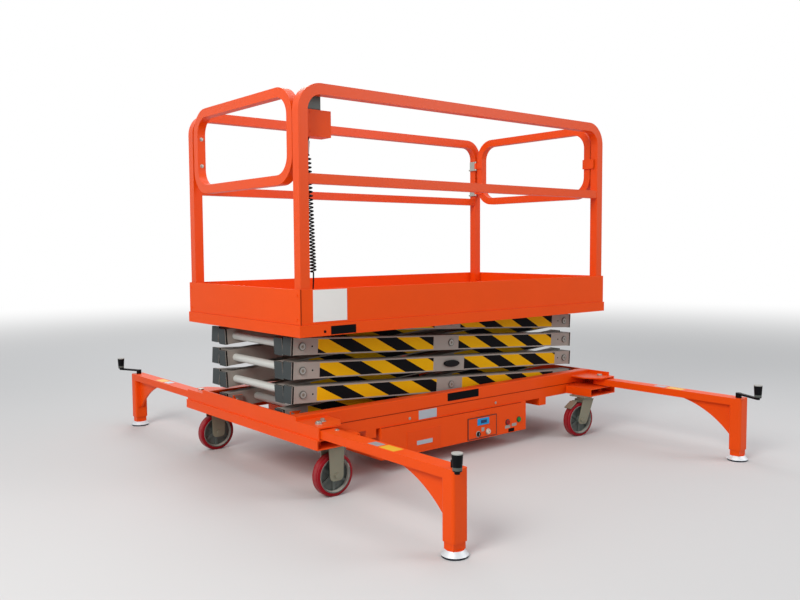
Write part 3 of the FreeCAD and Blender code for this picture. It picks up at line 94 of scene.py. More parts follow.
def add(tree, kind, inputs=(), **settings):
    """One shader node with its settings; each input is a value, or a socket to link to."""
    made = tree.nodes.new(kind)
    for key, value in settings.items():
        setattr(made, key, value)
    for key, value in dict(inputs).items():
        if isinstance(value, bpy.types.NodeSocket):
            tree.links.new(value, made.inputs[key])
        else:
            made.inputs[key].default_value = value
    return made


def maths(tree, operation, first, second=0.0, third=None):
    """The output of one sum on up to three values."""
    inputs = {0: first, 1: second}
    if third is not None:
        inputs[2] = third
    return add(tree, "ShaderNodeMath", inputs, operation=operation).outputs[0]


def new_material(name):
    """A new material with nodes, and its shader."""
    made = bpy.data.materials.new(name)
    made.use_nodes = True
    return made, made.node_tree.nodes["Principled BSDF"]


camera_data = bpy.data.cameras.new("camera")
camera = bpy.data.objects.new("camera", camera_data)
bpy.context.collection.objects.link(camera)
camera_data.sensor_width = SENSOR
camera_data.lens = FOCUS_IN_PIXELS * SENSOR / PHOTO_WIDTH
camera.matrix_world = (Matrix.Translation(CAMERA_PLACE)
                       @ Matrix.Rotation(CAMERA_HEADING - math.pi / 2, 4, "Z")
                       @ Matrix.Rotation(math.pi / 2 - CAMERA_DOWN, 4, "X")
                       @ Matrix.Rotation(CAMERA_ROLL, 4, "Z"))
bpy.context.scene.camera = camera
bpy.context.scene.view_settings.view_transform = "Standard"

for label, place, size, watts, colour in LAMPS:
    deselect()
    bpy.ops.object.light_add(type="AREA", location=place)
    lamp = bpy.context.object
    lamp.name = label + "_lamp"
    lamp.data.shape = "DISK"
    lamp.data.size = size
    lamp.data.energy = watts
    lamp.data.color = colour
    lamp.rotation_euler = (LAMP_AIM - Vector(place)).to_track_quat("-Z", "Y").to_euler()

sky = bpy.data.worlds.new("sky")
sky.use_nodes = True
bpy.context.scene.world = sky
tree = sky.node_tree
ambient = tree.nodes["Background"]
ambient.inputs["Color"].default_value = SKY_COLOUR
ambient.inputs["Strength"].default_value = SKY_STRENGTH
white = add(tree, "ShaderNodeBackground", {"Color": WHITE, "Strength": 1.0})
rays = add(tree, "ShaderNodeLightPath").outputs
seen = maths(tree, "MAXIMUM", rays["Is Camera Ray"], rays["Is Glossy Ray"])
seen = maths(tree, "MAXIMUM", seen, rays["Is Transmission Ray"])
choice = add(tree, "ShaderNodeMixShader", {0: seen, 1: ambient.outputs[0], 2: white.outputs[0]})
tree.links.new(choice.outputs[0], tree.nodes["World Output"].inputs["Surface"])

deselect()
bpy.ops.mesh.primitive_plane_add(size=FLOOR_SIZE)
floor = bpy.context.object
floor.name = "studio_floor"
floor_material, shader = new_material("pale floor")
tree = floor_material.node_tree
shader.inputs["Base Color"].default_value = FLOOR_GREY
shader.inputs["Roughness"].default_value = FLOOR_ROUGHNESS
shader.inputs["Specular IOR Level"].default_value = FLOOR_SPECULAR
position = add(tree, "ShaderNodeTexCoord").outputs["Object"]
distance = add(tree, "ShaderNodeVectorMath", {0: position}, operation="LENGTH").outputs["Value"]
far = add(tree, "ShaderNodeMapRange", {"Value": distance, "From Min": FADE_START, "From Max": FADE_END},
          interpolation_type="SMOOTHSTEP").outputs["Result"]
glow = add(tree, "ShaderNodeEmission", {"Color": WHITE, "Strength": 1.0})
rays = add(tree, "ShaderNodeLightPath").outputs
share = maths(tree, "MULTIPLY", far, rays["Is Camera Ray"])
choice = add(tree, "ShaderNodeMixShader", {0: share, 1: shader.outputs[0], 2: glow.outputs[0]})
tree.links.new(choice.outputs[0], tree.nodes["Material Output"].inputs["Surface"])
floor.data.materials.append(floor_material)

# Control cord. A black curly cord hangs from the gland under the control box, its turns pulled
# further apart near the top by its weight, and ends in a straight lead into a gland on the floor.
CORD_EXIT = Vector((-0.985, -0.456, 1.622))
COIL_TOP = Vector((-0.985, -0.456, 1.562))
COIL_FOOT = Vector((-0.962, -0.457, 1.022))
LEAD_MIDDLE = Vector((-0.961, -0.454, 0.943))
LEAD_FOOT = Vector((-0.977, -0.450, 0.864))
ROUTE = (CORD_EXIT, COIL_TOP, COIL_FOOT, LEAD_MIDDLE, LEAD_FOOT)
ROUTE_STEPS = 40
CORD_STEPS = 3
CORD_DIAMETER = 0.007
# Measured along the turns.
COIL_RADIUS = 0.0130
TURNS = 32
POINTS_A_TURN = 12
# Share of the coil's height that its turns take evenly; the rest opens the upper ones.
EVEN_SHARE = 0.85
OVER_COIL = Vector((0, 0, 0.006))
UNDER_COIL = Vector((0.001, 0.001, -0.012))


def nurbs_curve(name, points, steps):
    """A smooth open curve with these control points."""
    curve = bpy.data.curves.new(name, "CURVE")
    curve.dimensions = "3D"
    curve.resolution_u = steps
    line = curve.splines.new("NURBS")
    line.points.add(len(points) - 1)
    for point, place in zip(line.points, points):
        point.co = (*place, 1)
    line.order_u = 3
    line.use_endpoint_u = True
    return curve


def line_points(curve):
    """Points along a curve that has no thickness."""
    probe = bpy.data.objects.new("probe", curve)
    mesh = bpy.data.meshes.new_from_object(probe)
    points = [vertex.co.copy() for vertex in mesh.vertices]
    bpy.data.objects.remove(probe)
    bpy.data.meshes.remove(mesh)
    return points


def place_along(points, distance):
    """The place at a distance along a line, and the line's direction there."""
    for a, b in zip(points, points[1:]):
        run = (b - a).length
        if distance <= run:
            return a + (b - a) * (distance / run), (b - a).normalized()
        distance -= run
    return points[-1], (points[-1] - points[-2]).normalized()


def curly_points():
    """Control points of the cord: its start, the turns of its coil round the route, and the lead.

    The coil opens to its full radius within half a turn at each end.
    """
    route = nurbs_curve("cord_route", ROUTE, ROUTE_STEPS)
    middle_line = line_points(route)
    bpy.data.curves.remove(route)
    first = (COIL_TOP - CORD_EXIT).length
    last = first + (COIL_FOOT - COIL_TOP).length
    points = [CORD_EXIT, COIL_TOP + OVER_COIL]
    count = TURNS * POINTS_A_TURN
    for step in range(1, count):
        share = step / count
        down = EVEN_SHARE * share + (1 - EVEN_SHARE) * (1 - (1 - share) ** 2)
        place, along = place_along(middle_line, first + (last - first) * down)
        other = along.cross(Vector((1, 0, 0))).normalized()
        side = other.cross(along)
        turn = 2 * math.pi * step / POINTS_A_TURN
        open_share = min(1, step / POINTS_A_TURN * 2, (count - step) / POINTS_A_TURN * 2)
        reach = COIL_RADIUS * math.sin(open_share * math.pi / 2)
        points.append(place + side * (reach * math.cos(turn)) + other * (reach * math.sin(turn)))
    return points + [COIL_FOOT + UNDER_COIL, LEAD_MIDDLE, LEAD_FOOT]


def new_group(name, inputs, outputs):
    """A shader node group with named inputs and outputs: its tree, input sockets and output node."""
    tree = bpy.data.node_groups.new(name, "ShaderNodeTree")
    for label, kind, value in inputs:
        socket = tree.interface.new_socket(label, in_out="INPUT", socket_type=kind)
        socket.default_value = value
    for label, kind in outputs:
        tree.interface.new_socket(label, in_out="OUTPUT", socket_type=kind)
    return tree, tree.nodes.new("NodeGroupInput").outputs, tree.nodes.new("NodeGroupOutput")


# Every finish on the machine has a fine grain, a little unevenness of colour, and dust that
# settles on what faces up.
CLOUD_SCALE = 5.0
SPECK_SCALE = 42.0
SPECK_ROUGHENS = 0.12
DUST_COLOUR = (0.46, 0.42, 0.37, 1)
DUST_ROUGHENS = 0.45
aged_surface, given, result = new_group(
    "Aged Surface",
    (("Color", "NodeSocketColor", (0.5, 0.5, 0.5, 1)), ("Roughness", "NodeSocketFloat", 0.4),
     ("Grain Scale", "NodeSocketFloat", 900.0), ("Grain Depth", "NodeSocketFloat", 0.00005),
     ("Mottle", "NodeSocketFloat", 0.05), ("Dust", "NodeSocketFloat", 0.2)),
    (("Color", "NodeSocketColor"), ("Roughness", "NodeSocketFloat"), ("Normal", "NodeSocketVector")))
position = add(aged_surface, "ShaderNodeTexCoord").outputs
grain = add(aged_surface, "ShaderNodeTexNoise", {"Vector": position["Object"], "Detail": 2.0,
                                                 "Scale": given["Grain Scale"]})
cloud = add(aged_surface, "ShaderNodeTexNoise", {"Vector": position["Object"], "Scale": CLOUD_SCALE,
                                                 "Detail": 4.0, "Roughness": 0.6})
speck = add(aged_surface, "ShaderNodeTexNoise", {"Vector": position["Object"], "Scale": SPECK_SCALE,
                                                 "Detail": 6.0, "Roughness": 0.7})
mottle = maths(aged_surface, "SUBTRACT", cloud.outputs[0], 0.5)
mottle = maths(aged_surface, "MULTIPLY", mottle, given["Mottle"])
shade = maths(aged_surface, "MULTIPLY_ADD", mottle, 2.0, 1.0)
tinted = add(aged_surface, "ShaderNodeVectorMath", {0: given["Color"], 1: shade}, operation="MULTIPLY")
facing = add(aged_surface, "ShaderNodeSeparateXYZ", {0: position["Normal"]})
upward = add(aged_surface, "ShaderNodeMapRange", {"Value": facing.outputs["Z"], "From Min": 0.55,
                                                  "From Max": 0.98})
spots = add(aged_surface, "ShaderNodeMapRange", {"Value": speck.outputs[0], "From Min": 0.35,
                                                 "From Max": 0.75})
dust = maths(aged_surface, "MULTIPLY", upward.outputs[0], spots.outputs[0])
dust = maths(aged_surface, "MULTIPLY", dust, given["Dust"])
dusty = add(aged_surface, "ShaderNodeMix", {"Factor": dust, "A": tinted.outputs[0], "B": DUST_COLOUR},
            data_type="RGBA")
roughness = maths(aged_surface, "MULTIPLY_ADD", speck.outputs[0], SPECK_ROUGHENS, given["Roughness"])
roughness = maths(aged_surface, "MULTIPLY_ADD", dust, DUST_ROUGHENS, roughness)
rise = maths(aged_surface, "MULTIPLY", grain.outputs[0], given["Grain Depth"])
bump = add(aged_surface, "ShaderNodeBump", {"Height": rise, "Strength": 1.0, "Distance": 1.0})
aged_surface.links.new(dusty.outputs["Result"], result.inputs["Color"])
aged_surface.links.new(roughness, result.inputs["Roughness"])
aged_surface.links.new(bump.outputs[0], result.inputs["Normal"])


def finish(name, colour, roughness=0.4, grain=900.0, depth=0.00005, mottle=0.05, dust=0.2,
           metallic=0.0, coat=0.0, coat_roughness=0.1, specular=0.5):
    """A material of one colour on the aged surface; colour may be a function that makes a socket."""
    made, shader = new_material(name)
    tree = made.node_tree
    surface = add(tree, "ShaderNodeGroup",
                  {"Color": colour(tree) if callable(colour) else (*colour, 1), "Roughness": roughness,
                   "Grain Scale": grain, "Grain Depth": depth, "Mottle": mottle, "Dust": dust},
                  node_tree=aged_surface)
    tree.links.new(surface.outputs["Color"], shader.inputs["Base Color"])
    tree.links.new(surface.outputs["Roughness"], shader.inputs["Roughness"])
    tree.links.new(surface.outputs["Normal"], shader.inputs["Normal"])
    shader.inputs["Metallic"].default_value = metallic
    shader.inputs["Coat Weight"].default_value = coat
    shader.inputs["Coat Roughness"].default_value = coat_roughness
    shader.inputs["Specular IOR Level"].default_value = specular
    return made


cord_curve = nurbs_curve("curly_cord", curly_points(), CORD_STEPS)
cord_curve.bevel_depth = CORD_DIAMETER / 2
cord_curve.bevel_resolution = 3
cord_curve.use_fill_caps = True
curly_cord = bpy.data.objects.new("curly_cord", cord_curve)
bpy.context.collection.objects.link(curly_cord)
cord_rubber = finish("cord rubber", (0.004, 0.004, 0.005), roughness=0.5, grain=1500, depth=0.00003,
                     dust=0.02, specular=0.08)
cord_curve.materials.append(cord_rubber)
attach(curly_cord, "platform")
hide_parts("cord_coil", "cord_lead")

# Base frame. Folded and welded steel channels in glossy orange powder coat: two side rails that
# the rollers run in, a lower channel across each end, and lugs for the first hinges.
ORANGE = (0.82, 0.074, 0.002)
PIVOTS = {joint["name"]: joint["pos_m"] for joint in frame["joints"] if "pos_m" in joint}
orange_paint = finish("orange powder coat", ORANGE, roughness=0.36, grain=700, depth=0.00006,
                      mottle=0.05, dust=0.05, coat=0.04, coat_roughness=0.15, specular=0.14)
pin_steel = finish("zinc plated steel", (0.42, 0.41, 0.37), roughness=0.34, grain=1600, depth=0.00003,
                   mottle=0.10, dust=0.15, metallic=0.9)


def activate(piece):
    """Makes a piece the active one, and selects nothing else."""
    deselect()
    piece.select_set(True)
    bpy.context.view_layer.objects.active = piece


def settle():
    """Settles the selected piece's place, turn and scale into its mesh."""
    bpy.ops.object.transform_apply(location=True, rotation=True, scale=True)


def bevel(piece, width, segments=2, angle=30):
    """Rounds over the edges of the active piece where its faces turn by more than this angle."""
    edges = piece.modifiers.new("Edges", "BEVEL")
    edges.width = width
    edges.segments = segments
    edges.limit_method = "ANGLE"
    edges.angle_limit = math.radians(angle)
    bpy.ops.object.modifier_apply(modifier="Edges")


def smooth(piece):
    """Shades a finished piece smooth, with flat faces kept flat beside their rounded edges."""
    activate(piece)
    bpy.ops.object.shade_smooth_by_angle(angle=math.radians(35))
    even = piece.modifiers.new("Even", "WEIGHTED_NORMAL")
    even.keep_sharp = True
    bpy.ops.object.modifier_apply(modifier="Even")


def rounded(node, width, finishes, sort=None, segments=2, reshape=None):
    """A CAD piece with its sharp edges rounded over, in its own place and on its own body.

    finishes are its materials, sort picks one of them by number from a face's centre, and reshape
    moves a corner of the sheet before its edges are rounded.
    """
    body = frame["nodes"][node]["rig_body"]
    piece = bpy.data.objects.new(node + "_finished", frame["nodes"][node].data.copy())
    bpy.context.collection.objects.link(piece)
    activate(piece)
    piece.data.materials.clear()
    for item in finishes:
        piece.data.materials.append(item)
    if reshape:
        for vertex in piece.data.vertices:
            vertex.co = reshape(vertex.co)
    bpy.ops.object.mode_set(mode="EDIT")
    bpy.ops.mesh.select_all(action="SELECT")
    bpy.ops.mesh.remove_doubles(threshold=2e-6)
    bpy.ops.mesh.dissolve_limited(angle_limit=math.radians(0.8))
    bpy.ops.object.mode_set(mode="OBJECT")
    bevel(piece, width, segments, angle=35)
    smooth(piece)
    if sort:
        for face in piece.data.polygons:
            face.material_index = sort(face.center)
    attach(piece, body)
    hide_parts(node)


def placed(piece, name, material, body, slot):
    """Names a new piece, gives it its finish, and settles its place into its mesh."""
    activate(piece)
    settle()
    piece.name = name
    piece.data.materials.clear()
    piece.data.materials.append(material)
    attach(piece, body)


def flat_plate(name, low, high, edge, material, body, slot, segments=2):
    """A sheet or housing between two corners, its edges rounded over."""
    low, high = Vector(low), Vector(high)
    deselect()
    bpy.ops.mesh.primitive_cube_add(size=1, location=(low + high) / 2)
    piece = bpy.context.object
    piece.scale = high - low
    settle()
    bevel(piece, edge, segments)
    smooth(piece)
    placed(piece, name, material, body, slot)


def front_plates(body, rows):
    """Plates on faces that look along -Y.

    Columns: name, face, ends along the machine, heights, how far it stands out of the face and goes
    in, edge, finish and slot. The slot is not used.
    """
    for name, face, (left, right), (low, high), (out, into), edge, material, slot in rows:
        flat_plate(name, (left, face - out, low), (right, face + into, high), edge, material, body, slot)


# The turn that takes +Z to the axis that a bolt or knob points along.
TURNS_TO = {
    "+z": Matrix.Identity(4),
    "-y": Matrix.Rotation(math.pi / 2, 4, "X"),
    "+y": Matrix.Rotation(-math.pi / 2, 4, "X"),
    "-x": Matrix.Rotation(-math.pi / 2, 4, "Y"),
}
# Sizes of bolts and screws as shares of the thread's radius.
WASHER_REACH = 1.7
WASHER_HEIGHT = 0.22
HEAD_EDGE = 0.18
# Columns: number of sides, reach and height of a head.
DOMED_HEAD = (20, 1.3, 0.45)
HEXAGON_HEAD = (6, 1.05, 1.1)


def bolt_heads(name, places, towards, radius, material, body, slot, flat=False):
    """Hexagon heads on washers, or domed screw heads, as one piece."""
    made = []
    sides, reach, height = DOMED_HEAD if flat else HEXAGON_HEAD
    washer_height = radius * WASHER_HEIGHT
    for place in places:
        deselect()
        bpy.ops.mesh.primitive_cylinder_add(vertices=24, radius=radius * WASHER_REACH, depth=washer_height,
                                            location=(0, 0, washer_height / 2))
        washer = bpy.context.object
        bpy.ops.mesh.primitive_cylinder_add(vertices=sides, radius=radius * reach, depth=radius * height,
                                            location=(0, 0, washer_height + radius * height / 2))
        head = bpy.context.object
        washer.select_set(True)
        bpy.context.view_layer.objects.active = head
        bpy.ops.object.join()
        settle()
        bevel(head, radius * HEAD_EDGE)
        head.data.transform(Matrix.Translation(Vector(place)) @ TURNS_TO[towards])
        made.append(head)
    deselect()
    for head in made:
        head.select_set(True)
    bpy.context.view_layer.objects.active = made[0]
    if len(made) > 1:
        bpy.ops.object.join()
    smooth(made[0])
    placed(made[0], name, material, body, slot)


RAIL_FACE = -0.470
RAIL_SKIRT_FACE = -0.467
EAR_TOP = 0.3455
SWING_PIN_TOP = 0.3535
# How far the steel heads reach from the middle of a pivot, and the height that they stand above.
SWING_PIN_REACH = 0.020
HINGE_PIN_REACH = 0.0125
ABOVE_EARS = EAR_TOP + 0.0007
# How far a plate, a label, a painted shadow line or a dark seam stands out of its face and goes in, and its
# edge.
PLATE_DEPTH = (0.0012, 0.0005)
PLATE_EDGE = 0.0008
THIN_PLATE_DEPTH = (0.0010, 0.0005)
THIN_PLATE_EDGE = 0.0006
LABEL_DEPTH = (0.0008, 0.0005)
LABEL_EDGE = 0.0004
SHADOW_LINE_DEPTH = (0.0008, 0.0010)
SEAM_AND_SHADOW_EDGE = 0.0003
swing_x, swing_y, _ = PIVOTS["far_right_swing"]
hinge_x, _, hinge_z = PIVOTS["lift"]


def base_metal(centre):
    """1 on the hinge pins and the outriggers' pivot heads."""
    beside_x = abs(abs(centre.x) - swing_x)
    beside_y = abs(abs(centre.y) - swing_y)
    if centre.z > ABOVE_EARS and beside_x < SWING_PIN_REACH and beside_y < SWING_PIN_REACH:
        return 1
    return 1 if math.hypot(centre.x - hinge_x, centre.z - hinge_z) < HINGE_PIN_REACH else 0


rounded("base_frame", 0.0022, (orange_paint, pin_steel), base_metal)
bolt_heads("seam_bolts", [(-0.392, RAIL_SKIRT_FACE, 0.262), (0.240, RAIL_SKIRT_FACE, 0.262)], "-y", 0.0045,
           pin_steel, "base", "zinc", flat=True)
blank_black = finish("blank black plate", (0.003, 0.003, 0.004), roughness=0.5, grain=400, dust=0.0,
                     specular=0.05)
blank_silver = finish("blank silver plate", (0.42, 0.47, 0.52), roughness=0.35, grain=500, metallic=0.5,
                      dust=0.0)
# Colour of the thin dark strips: painted shadow under the near rail's fold and along the box's top, and the
# dark seam at the toe boards' corner.
seam_shade = finish("seam shade", (0.26, 0.022, 0.002), roughness=0.7, grain=500, dust=0.0, specular=0.1)
front_plates("base", (
    ("rail_plate", RAIL_FACE, (-0.130, 0.102), (0.317, 0.359), PLATE_DEPTH, PLATE_EDGE, blank_black,
     "grip"),
    ("name_plate", RAIL_SKIRT_FACE, (-0.331, -0.206), (0.246, 0.293), PLATE_DEPTH, PLATE_EDGE, blank_silver,
     "zinc"),
    # The thin dark strip on the skirt under the rail's lower fold is painted shadow, where the fold shades
    # the skirt.
    ("rail_seam", RAIL_SKIRT_FACE, (-0.905, 0.960), (0.2975, 0.3005), SHADOW_LINE_DEPTH, SEAM_AND_SHADOW_EDGE, seam_shade,
     "paint"),
))
bolt_heads("ear_bolt", [(-0.984, -0.548, EAR_TOP)], "+z", 0.0105, pin_steel, "base", "zinc")
bolt_heads("end_plug", [(-swing_x, -swing_y, SWING_PIN_TOP)], "+z", 0.009, pin_steel, "base", "zinc",
           flat=True)

# Power box. A folded orange housing under the near rail holds the pump and the battery; its
# front has a blank door, a control door with a small screen, and push buttons.
BOX_FACE = -0.474
BOX_END = -0.585
BOX_TOP = 0.2407
# Corners of the housing left of this place are its left end wall's.
END_WALL_LIMIT = -0.3
DOOR_FACE = BOX_FACE - 0.003


def box_corner(corner):
    """The housing's left end wall stands further out than the pump and battery inside it."""
    return Vector((BOX_END, corner.y, corner.z)) if corner.x < END_WALL_LIMIT else corner


def outline_strip(name, low, high, width, face, proud, material, body, slot):
    """A thin gasket round a door: an inset frame pushed out of a flat plate."""
    deselect()
    bpy.ops.mesh.primitive_plane_add(size=1)
    piece = bpy.context.object
    piece.scale = (high[0] - low[0], high[1] - low[1], 1)
    settle()
    bpy.ops.object.mode_set(mode="EDIT")
    bpy.ops.mesh.select_all(action="SELECT")
    bpy.ops.mesh.inset(thickness=width)
    bpy.ops.mesh.delete(type="FACE")
    bpy.ops.mesh.select_all(action="SELECT")
    bpy.ops.mesh.extrude_region_move(TRANSFORM_OT_translate={"value": (0, 0, proud)})
    bpy.ops.mesh.select_all(action="SELECT")
    bpy.ops.mesh.normals_make_consistent(inside=False)
    bpy.ops.object.mode_set(mode="OBJECT")
    middle = ((low[0] + high[0]) / 2, face, (low[1] + high[1]) / 2)
    piece.data.transform(Matrix.Translation(middle) @ TURNS_TO["-y"])
    placed(piece, name, material, body, slot)


rounded("power_box", 0.003, (orange_paint,), reshape=box_corner)
door_paint = finish("orange door paint", (0.78, 0.068, 0.002), roughness=0.36, grain=700, depth=0.00006,
                    mottle=0.05, dust=0.04, specular=0.16)
rounded("box_doors", 0.001, (door_paint,))
gasket_rubber = finish("gasket rubber", (0.02, 0.015, 0.014), roughness=0.7, grain=900, dust=0.0)
outline_strip("control_door_gasket", (0.014, 0.084), (0.238, 0.202), 0.0035, BOX_FACE - 0.0005, 0.0035,
              gasket_rubber, "base", "grip")
outline_strip("access_door_edge", (-0.417, 0.090), (-0.183, 0.196), 0.003, BOX_FACE - 0.0002, 0.0012,
              door_paint, "base", "paint")
screen_blue = finish("screen bezel", (0.005, 0.27, 0.60), roughness=0.35, grain=300, dust=0.0, specular=0.3)
screen_dark = finish("screen glass", (0.006, 0.035, 0.12), roughness=0.15, grain=300, depth=0.0, dust=0.0,
                     specular=0.3)
blank_grey = finish("blank grey label", (0.33, 0.32, 0.29), roughness=0.45, grain=400, dust=0.0)
flat_plate("screen_frame", (0.086, DOOR_FACE - 0.004, 0.155), (0.176, DOOR_FACE + 0.001, 0.193), 0.0024,
           screen_blue, "base", "grip", segments=3)
front_plates("base", (
    # The thin dark strip along the top of the box's front is painted shadow, where the box meets the rail
    # above it.
    ("box_seam", BOX_FACE, (BOX_END + 0.003, 0.444), (BOX_TOP - 0.0030, BOX_TOP), SHADOW_LINE_DEPTH, SEAM_AND_SHADOW_EDGE,
     seam_shade, "paint"),
    ("screen_glass", DOOR_FACE, (0.110, 0.156), (0.165, 0.183), (0.0048, -0.003), PLATE_EDGE, screen_dark,
     "grip"),
    ("door_plate", BOX_FACE, (-0.352, -0.244), (0.118, 0.140), (0.0032, -0.0015), THIN_PLATE_EDGE,
     blank_silver, "zinc"),
    ("red_button_label", BOX_FACE, (0.310, 0.352), (0.105, 0.122), LABEL_DEPTH, LABEL_EDGE, blank_grey,
     "zinc"),
    ("green_button_label", BOX_FACE, (0.366, 0.405), (0.110, 0.127), LABEL_DEPTH, LABEL_EDGE, blank_grey,
     "zinc"),
    ("socket_plate", BOX_FACE, (0.338, 0.386), (0.081, 0.101), PLATE_DEPTH, 0.0005, blank_black, "grip"),
    ("switch_label", DOOR_FACE, (0.118, 0.140), (0.118, 0.140), LABEL_DEPTH, LABEL_EDGE, blank_grey,
     "zinc"),
))
bolt_heads("box_screws", [(0.098, BOX_FACE, 0.222), (0.144, BOX_FACE, 0.222)], "-y", 0.0025, door_paint,
           "base", "paint", flat=True)

# Control buttons. Moulded plastic caps pressed into turned rings: a key switch and a stop switch
# on the control door, and a red and a green button beside it.
# Columns: material, colour, specular level, and where the colour ends along the box.
BUTTONS = (
    ("black switch", (0.004, 0.004, 0.005), 0.15, 0.130),
    ("pale switch", (0.62, 0.56, 0.48), 0.5, 0.250),
    ("red button", (0.32, 0.010, 0.008), 0.25, 0.377),
    ("green button", (0.01, 0.20, 0.03), 0.25, math.inf),
)
# Radius and height round the section of a ring.
RING_PROFILE = ((0.0128, 0.0), (0.0172, 0.0), (0.0172, 0.0022), (0.0160, 0.0034), (0.0134, 0.0034),
                (0.0128, 0.0026))
RING_SIDES = 40
# Columns: ring, its place along the box, height, and the face that it stands on.
RINGS = (("key_ring", 0.092, 0.108, DOOR_FACE), ("stop_ring", 0.168, 0.112, DOOR_FACE),
         ("red_ring", 0.330, 0.140, BOX_FACE), ("green_ring", 0.424, 0.143, BOX_FACE))


def button_colour(centre):
    """Black, pale, red or green, by the button's place along the box."""
    return sum(centre.x >= limit for _, _, _, limit in BUTTONS)


def turned_ring(name, profile, place, towards, material, body, slot):
    """A turned ring or sleeve; its profile gives radius and height, round the ring's section."""
    mesh = bpy.data.meshes.new(name)
    vertices = []
    for step in range(RING_SIDES):
        turn = 2 * math.pi * step / RING_SIDES
        vertices += [(radius * math.cos(turn), radius * math.sin(turn), rise) for radius, rise in profile]
    size = len(profile)
    faces = []
    for side in range(RING_SIDES):
        here, there = side * size, (side + 1) % RING_SIDES * size
        for first in range(size):
            second = (first + 1) % size
            faces.append((here + first, there + first, there + second, here + second))
    mesh.from_pydata(vertices, [], faces)
    mesh.transform(Matrix.Translation(place) @ TURNS_TO[towards])
    mesh.validate()
    piece = bpy.data.objects.new(name, mesh)
    bpy.context.collection.objects.link(piece)
    activate(piece)
    bpy.ops.object.mode_set(mode="EDIT")
    bpy.ops.mesh.select_all(action="SELECT")
    bpy.ops.mesh.normals_make_consistent(inside=False)
    bpy.ops.object.mode_set(mode="OBJECT")
    smooth(piece)
    placed(piece, name, material, body, slot)


button_plastics = [finish(name, colour, roughness=0.35, grain=300, dust=0.0, specular=specular)
                   for name, colour, specular, _ in BUTTONS]
rounded("box_buttons", 0.0028, button_plastics, button_colour, segments=3)
ring_black = finish("dark ring", (0.02, 0.02, 0.02), roughness=0.35, grain=500, dust=0.0)
for name, along, height, face in RINGS:
    turned_ring(name, RING_PROFILE, (along, face, height), "-y",
                pin_steel if face == DOOR_FACE else ring_black, "base", "button")
front_plates("base", (
    ("key_slot", DOOR_FACE, (0.0905, 0.0935), (0.102, 0.114), (0.0108, -0.0095), LABEL_EDGE, blank_silver,
     "zinc"),
    ("stop_mark", DOOR_FACE, (0.165, 0.171), (0.109, 0.115), (0.0128, -0.0115), THIN_PLATE_EDGE, blank_grey,
     "zinc"),
))

# Casters. Grey cast iron cores with a red polyurethane tread, in zinc plated steel forks; the
# left pair is rigid, and the right pair swivels on a ball race and has a brake pedal.
CORNERS = ("near_left", "far_left", "near_right", "far_right")
FLANGE_START = 0.0745
TREAD_RED = (0.26, 0.003, 0.010, 1)
RUBBED_RED = (0.31, 0.045, 0.048, 1)
# Distances from the hub's centre over which the tread's rubbed band begins, and over which it ends.
BAND_START = (0.0985, 0.0995)
BAND_END = (0.1006, 0.1018)
EDGE_NOISE_SCALE = 60.0
EDGE_NOISE_DEPTH = 0.002
fork_zinc = finish("dull zinc", (0.25, 0.245, 0.18), roughness=0.45, grain=1200, depth=0.00005, mottle=0.2,
                   dust=0.08, metallic=0.35, specular=0.3)
core_paint = finish("grey core paint", (0.10, 0.115, 0.105), roughness=0.42, grain=500, depth=0.0001,
                    mottle=0.15, dust=0.12, specular=0.3)
rim_paint = finish("pale rim", (0.36, 0.35, 0.31), roughness=0.4, grain=500, mottle=0.1, dust=0.05)
for corner in CORNERS:
    low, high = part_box(corner + "_core")
    hub = (low + high) / 2

    def core_finish(centre, hub=hub):
        """The rim's flange is paler than the spokes."""
        return 1 if (centre - hub).length > FLANGE_START else 0

    def tread_colour(tree, hub=hub):
        """Dark red sides and a paler, rubbed band where the tread runs."""
        position = add(tree, "ShaderNodeTexCoord").outputs["Object"]
        reach = add(tree, "ShaderNodeVectorMath", {0: position, 1: tuple(hub)},
                    operation="DISTANCE").outputs["Value"]
        rough = add(tree, "ShaderNodeTexNoise", {"Vector": position, "Scale": EDGE_NOISE_SCALE})
        edge = maths(tree, "MULTIPLY_ADD", rough.outputs[0], EDGE_NOISE_DEPTH, reach)
        going = add(tree, "ShaderNodeMapRange", {"Value": edge, "From Min": BAND_END[0],
                                                 "From Max": BAND_END[1], "To Min": 1.0, "To Max": 0.0})
        coming = add(tree, "ShaderNodeMapRange", {"Value": reach, "From Min": BAND_START[0],
                                                  "From Max": BAND_START[1]})
        band = maths(tree, "MULTIPLY", going.outputs[0], coming.outputs[0])
        colour = add(tree, "ShaderNodeMix", {"Factor": band, "A": TREAD_RED, "B": RUBBED_RED},
                     data_type="RGBA")
        return colour.outputs["Result"]

    rounded(corner + "_fork", 0.0012, (fork_zinc,))
    rounded(corner + "_core", 0.0012, (core_paint, rim_paint), core_finish)
    tread = finish(corner + " tread", tread_colour, roughness=0.3, grain=250, depth=0.0001, mottle=0.08,
                   dust=0.04, coat=0.05, coat_roughness=0.15, specular=0.12)
    rounded(corner + "_tread", 0.0035, (tread,), segments=3)
rounded("swivel_plates", 0.0015, (fork_zinc,))

# Outriggers. An orange square tube swings out of each corner of the base, with a curved gusset
# down to a leg; inside the leg a screw lifts a smaller leg on a steel foot with a rubber sole.
GUSSET_HALF_WIDTH = 0.030
GUSSET_PLATE_HALF = 0.006
GUSSET_START = 0.9
SOLE_TOP = 0.0079
FOOT_TOP = 0.0279
CRANK_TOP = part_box("near_left_crank")[1].z
CRANK_BLACK = (0.003, 0.003, 0.004, 1)
# Columns: height under the crank's top where a band of its grip ends, and the band's colour.
GRIP_BANDS = ((0.0045, (0.40, 0.40, 0.38, 1)), (0.050, (0.003, 0.003, 0.004, 1)),
              (0.062, (0.10, 0.11, 0.10, 1)))
ARM_TOP = 0.333
LABELLED = ("near_left", "near_right", "far_left")


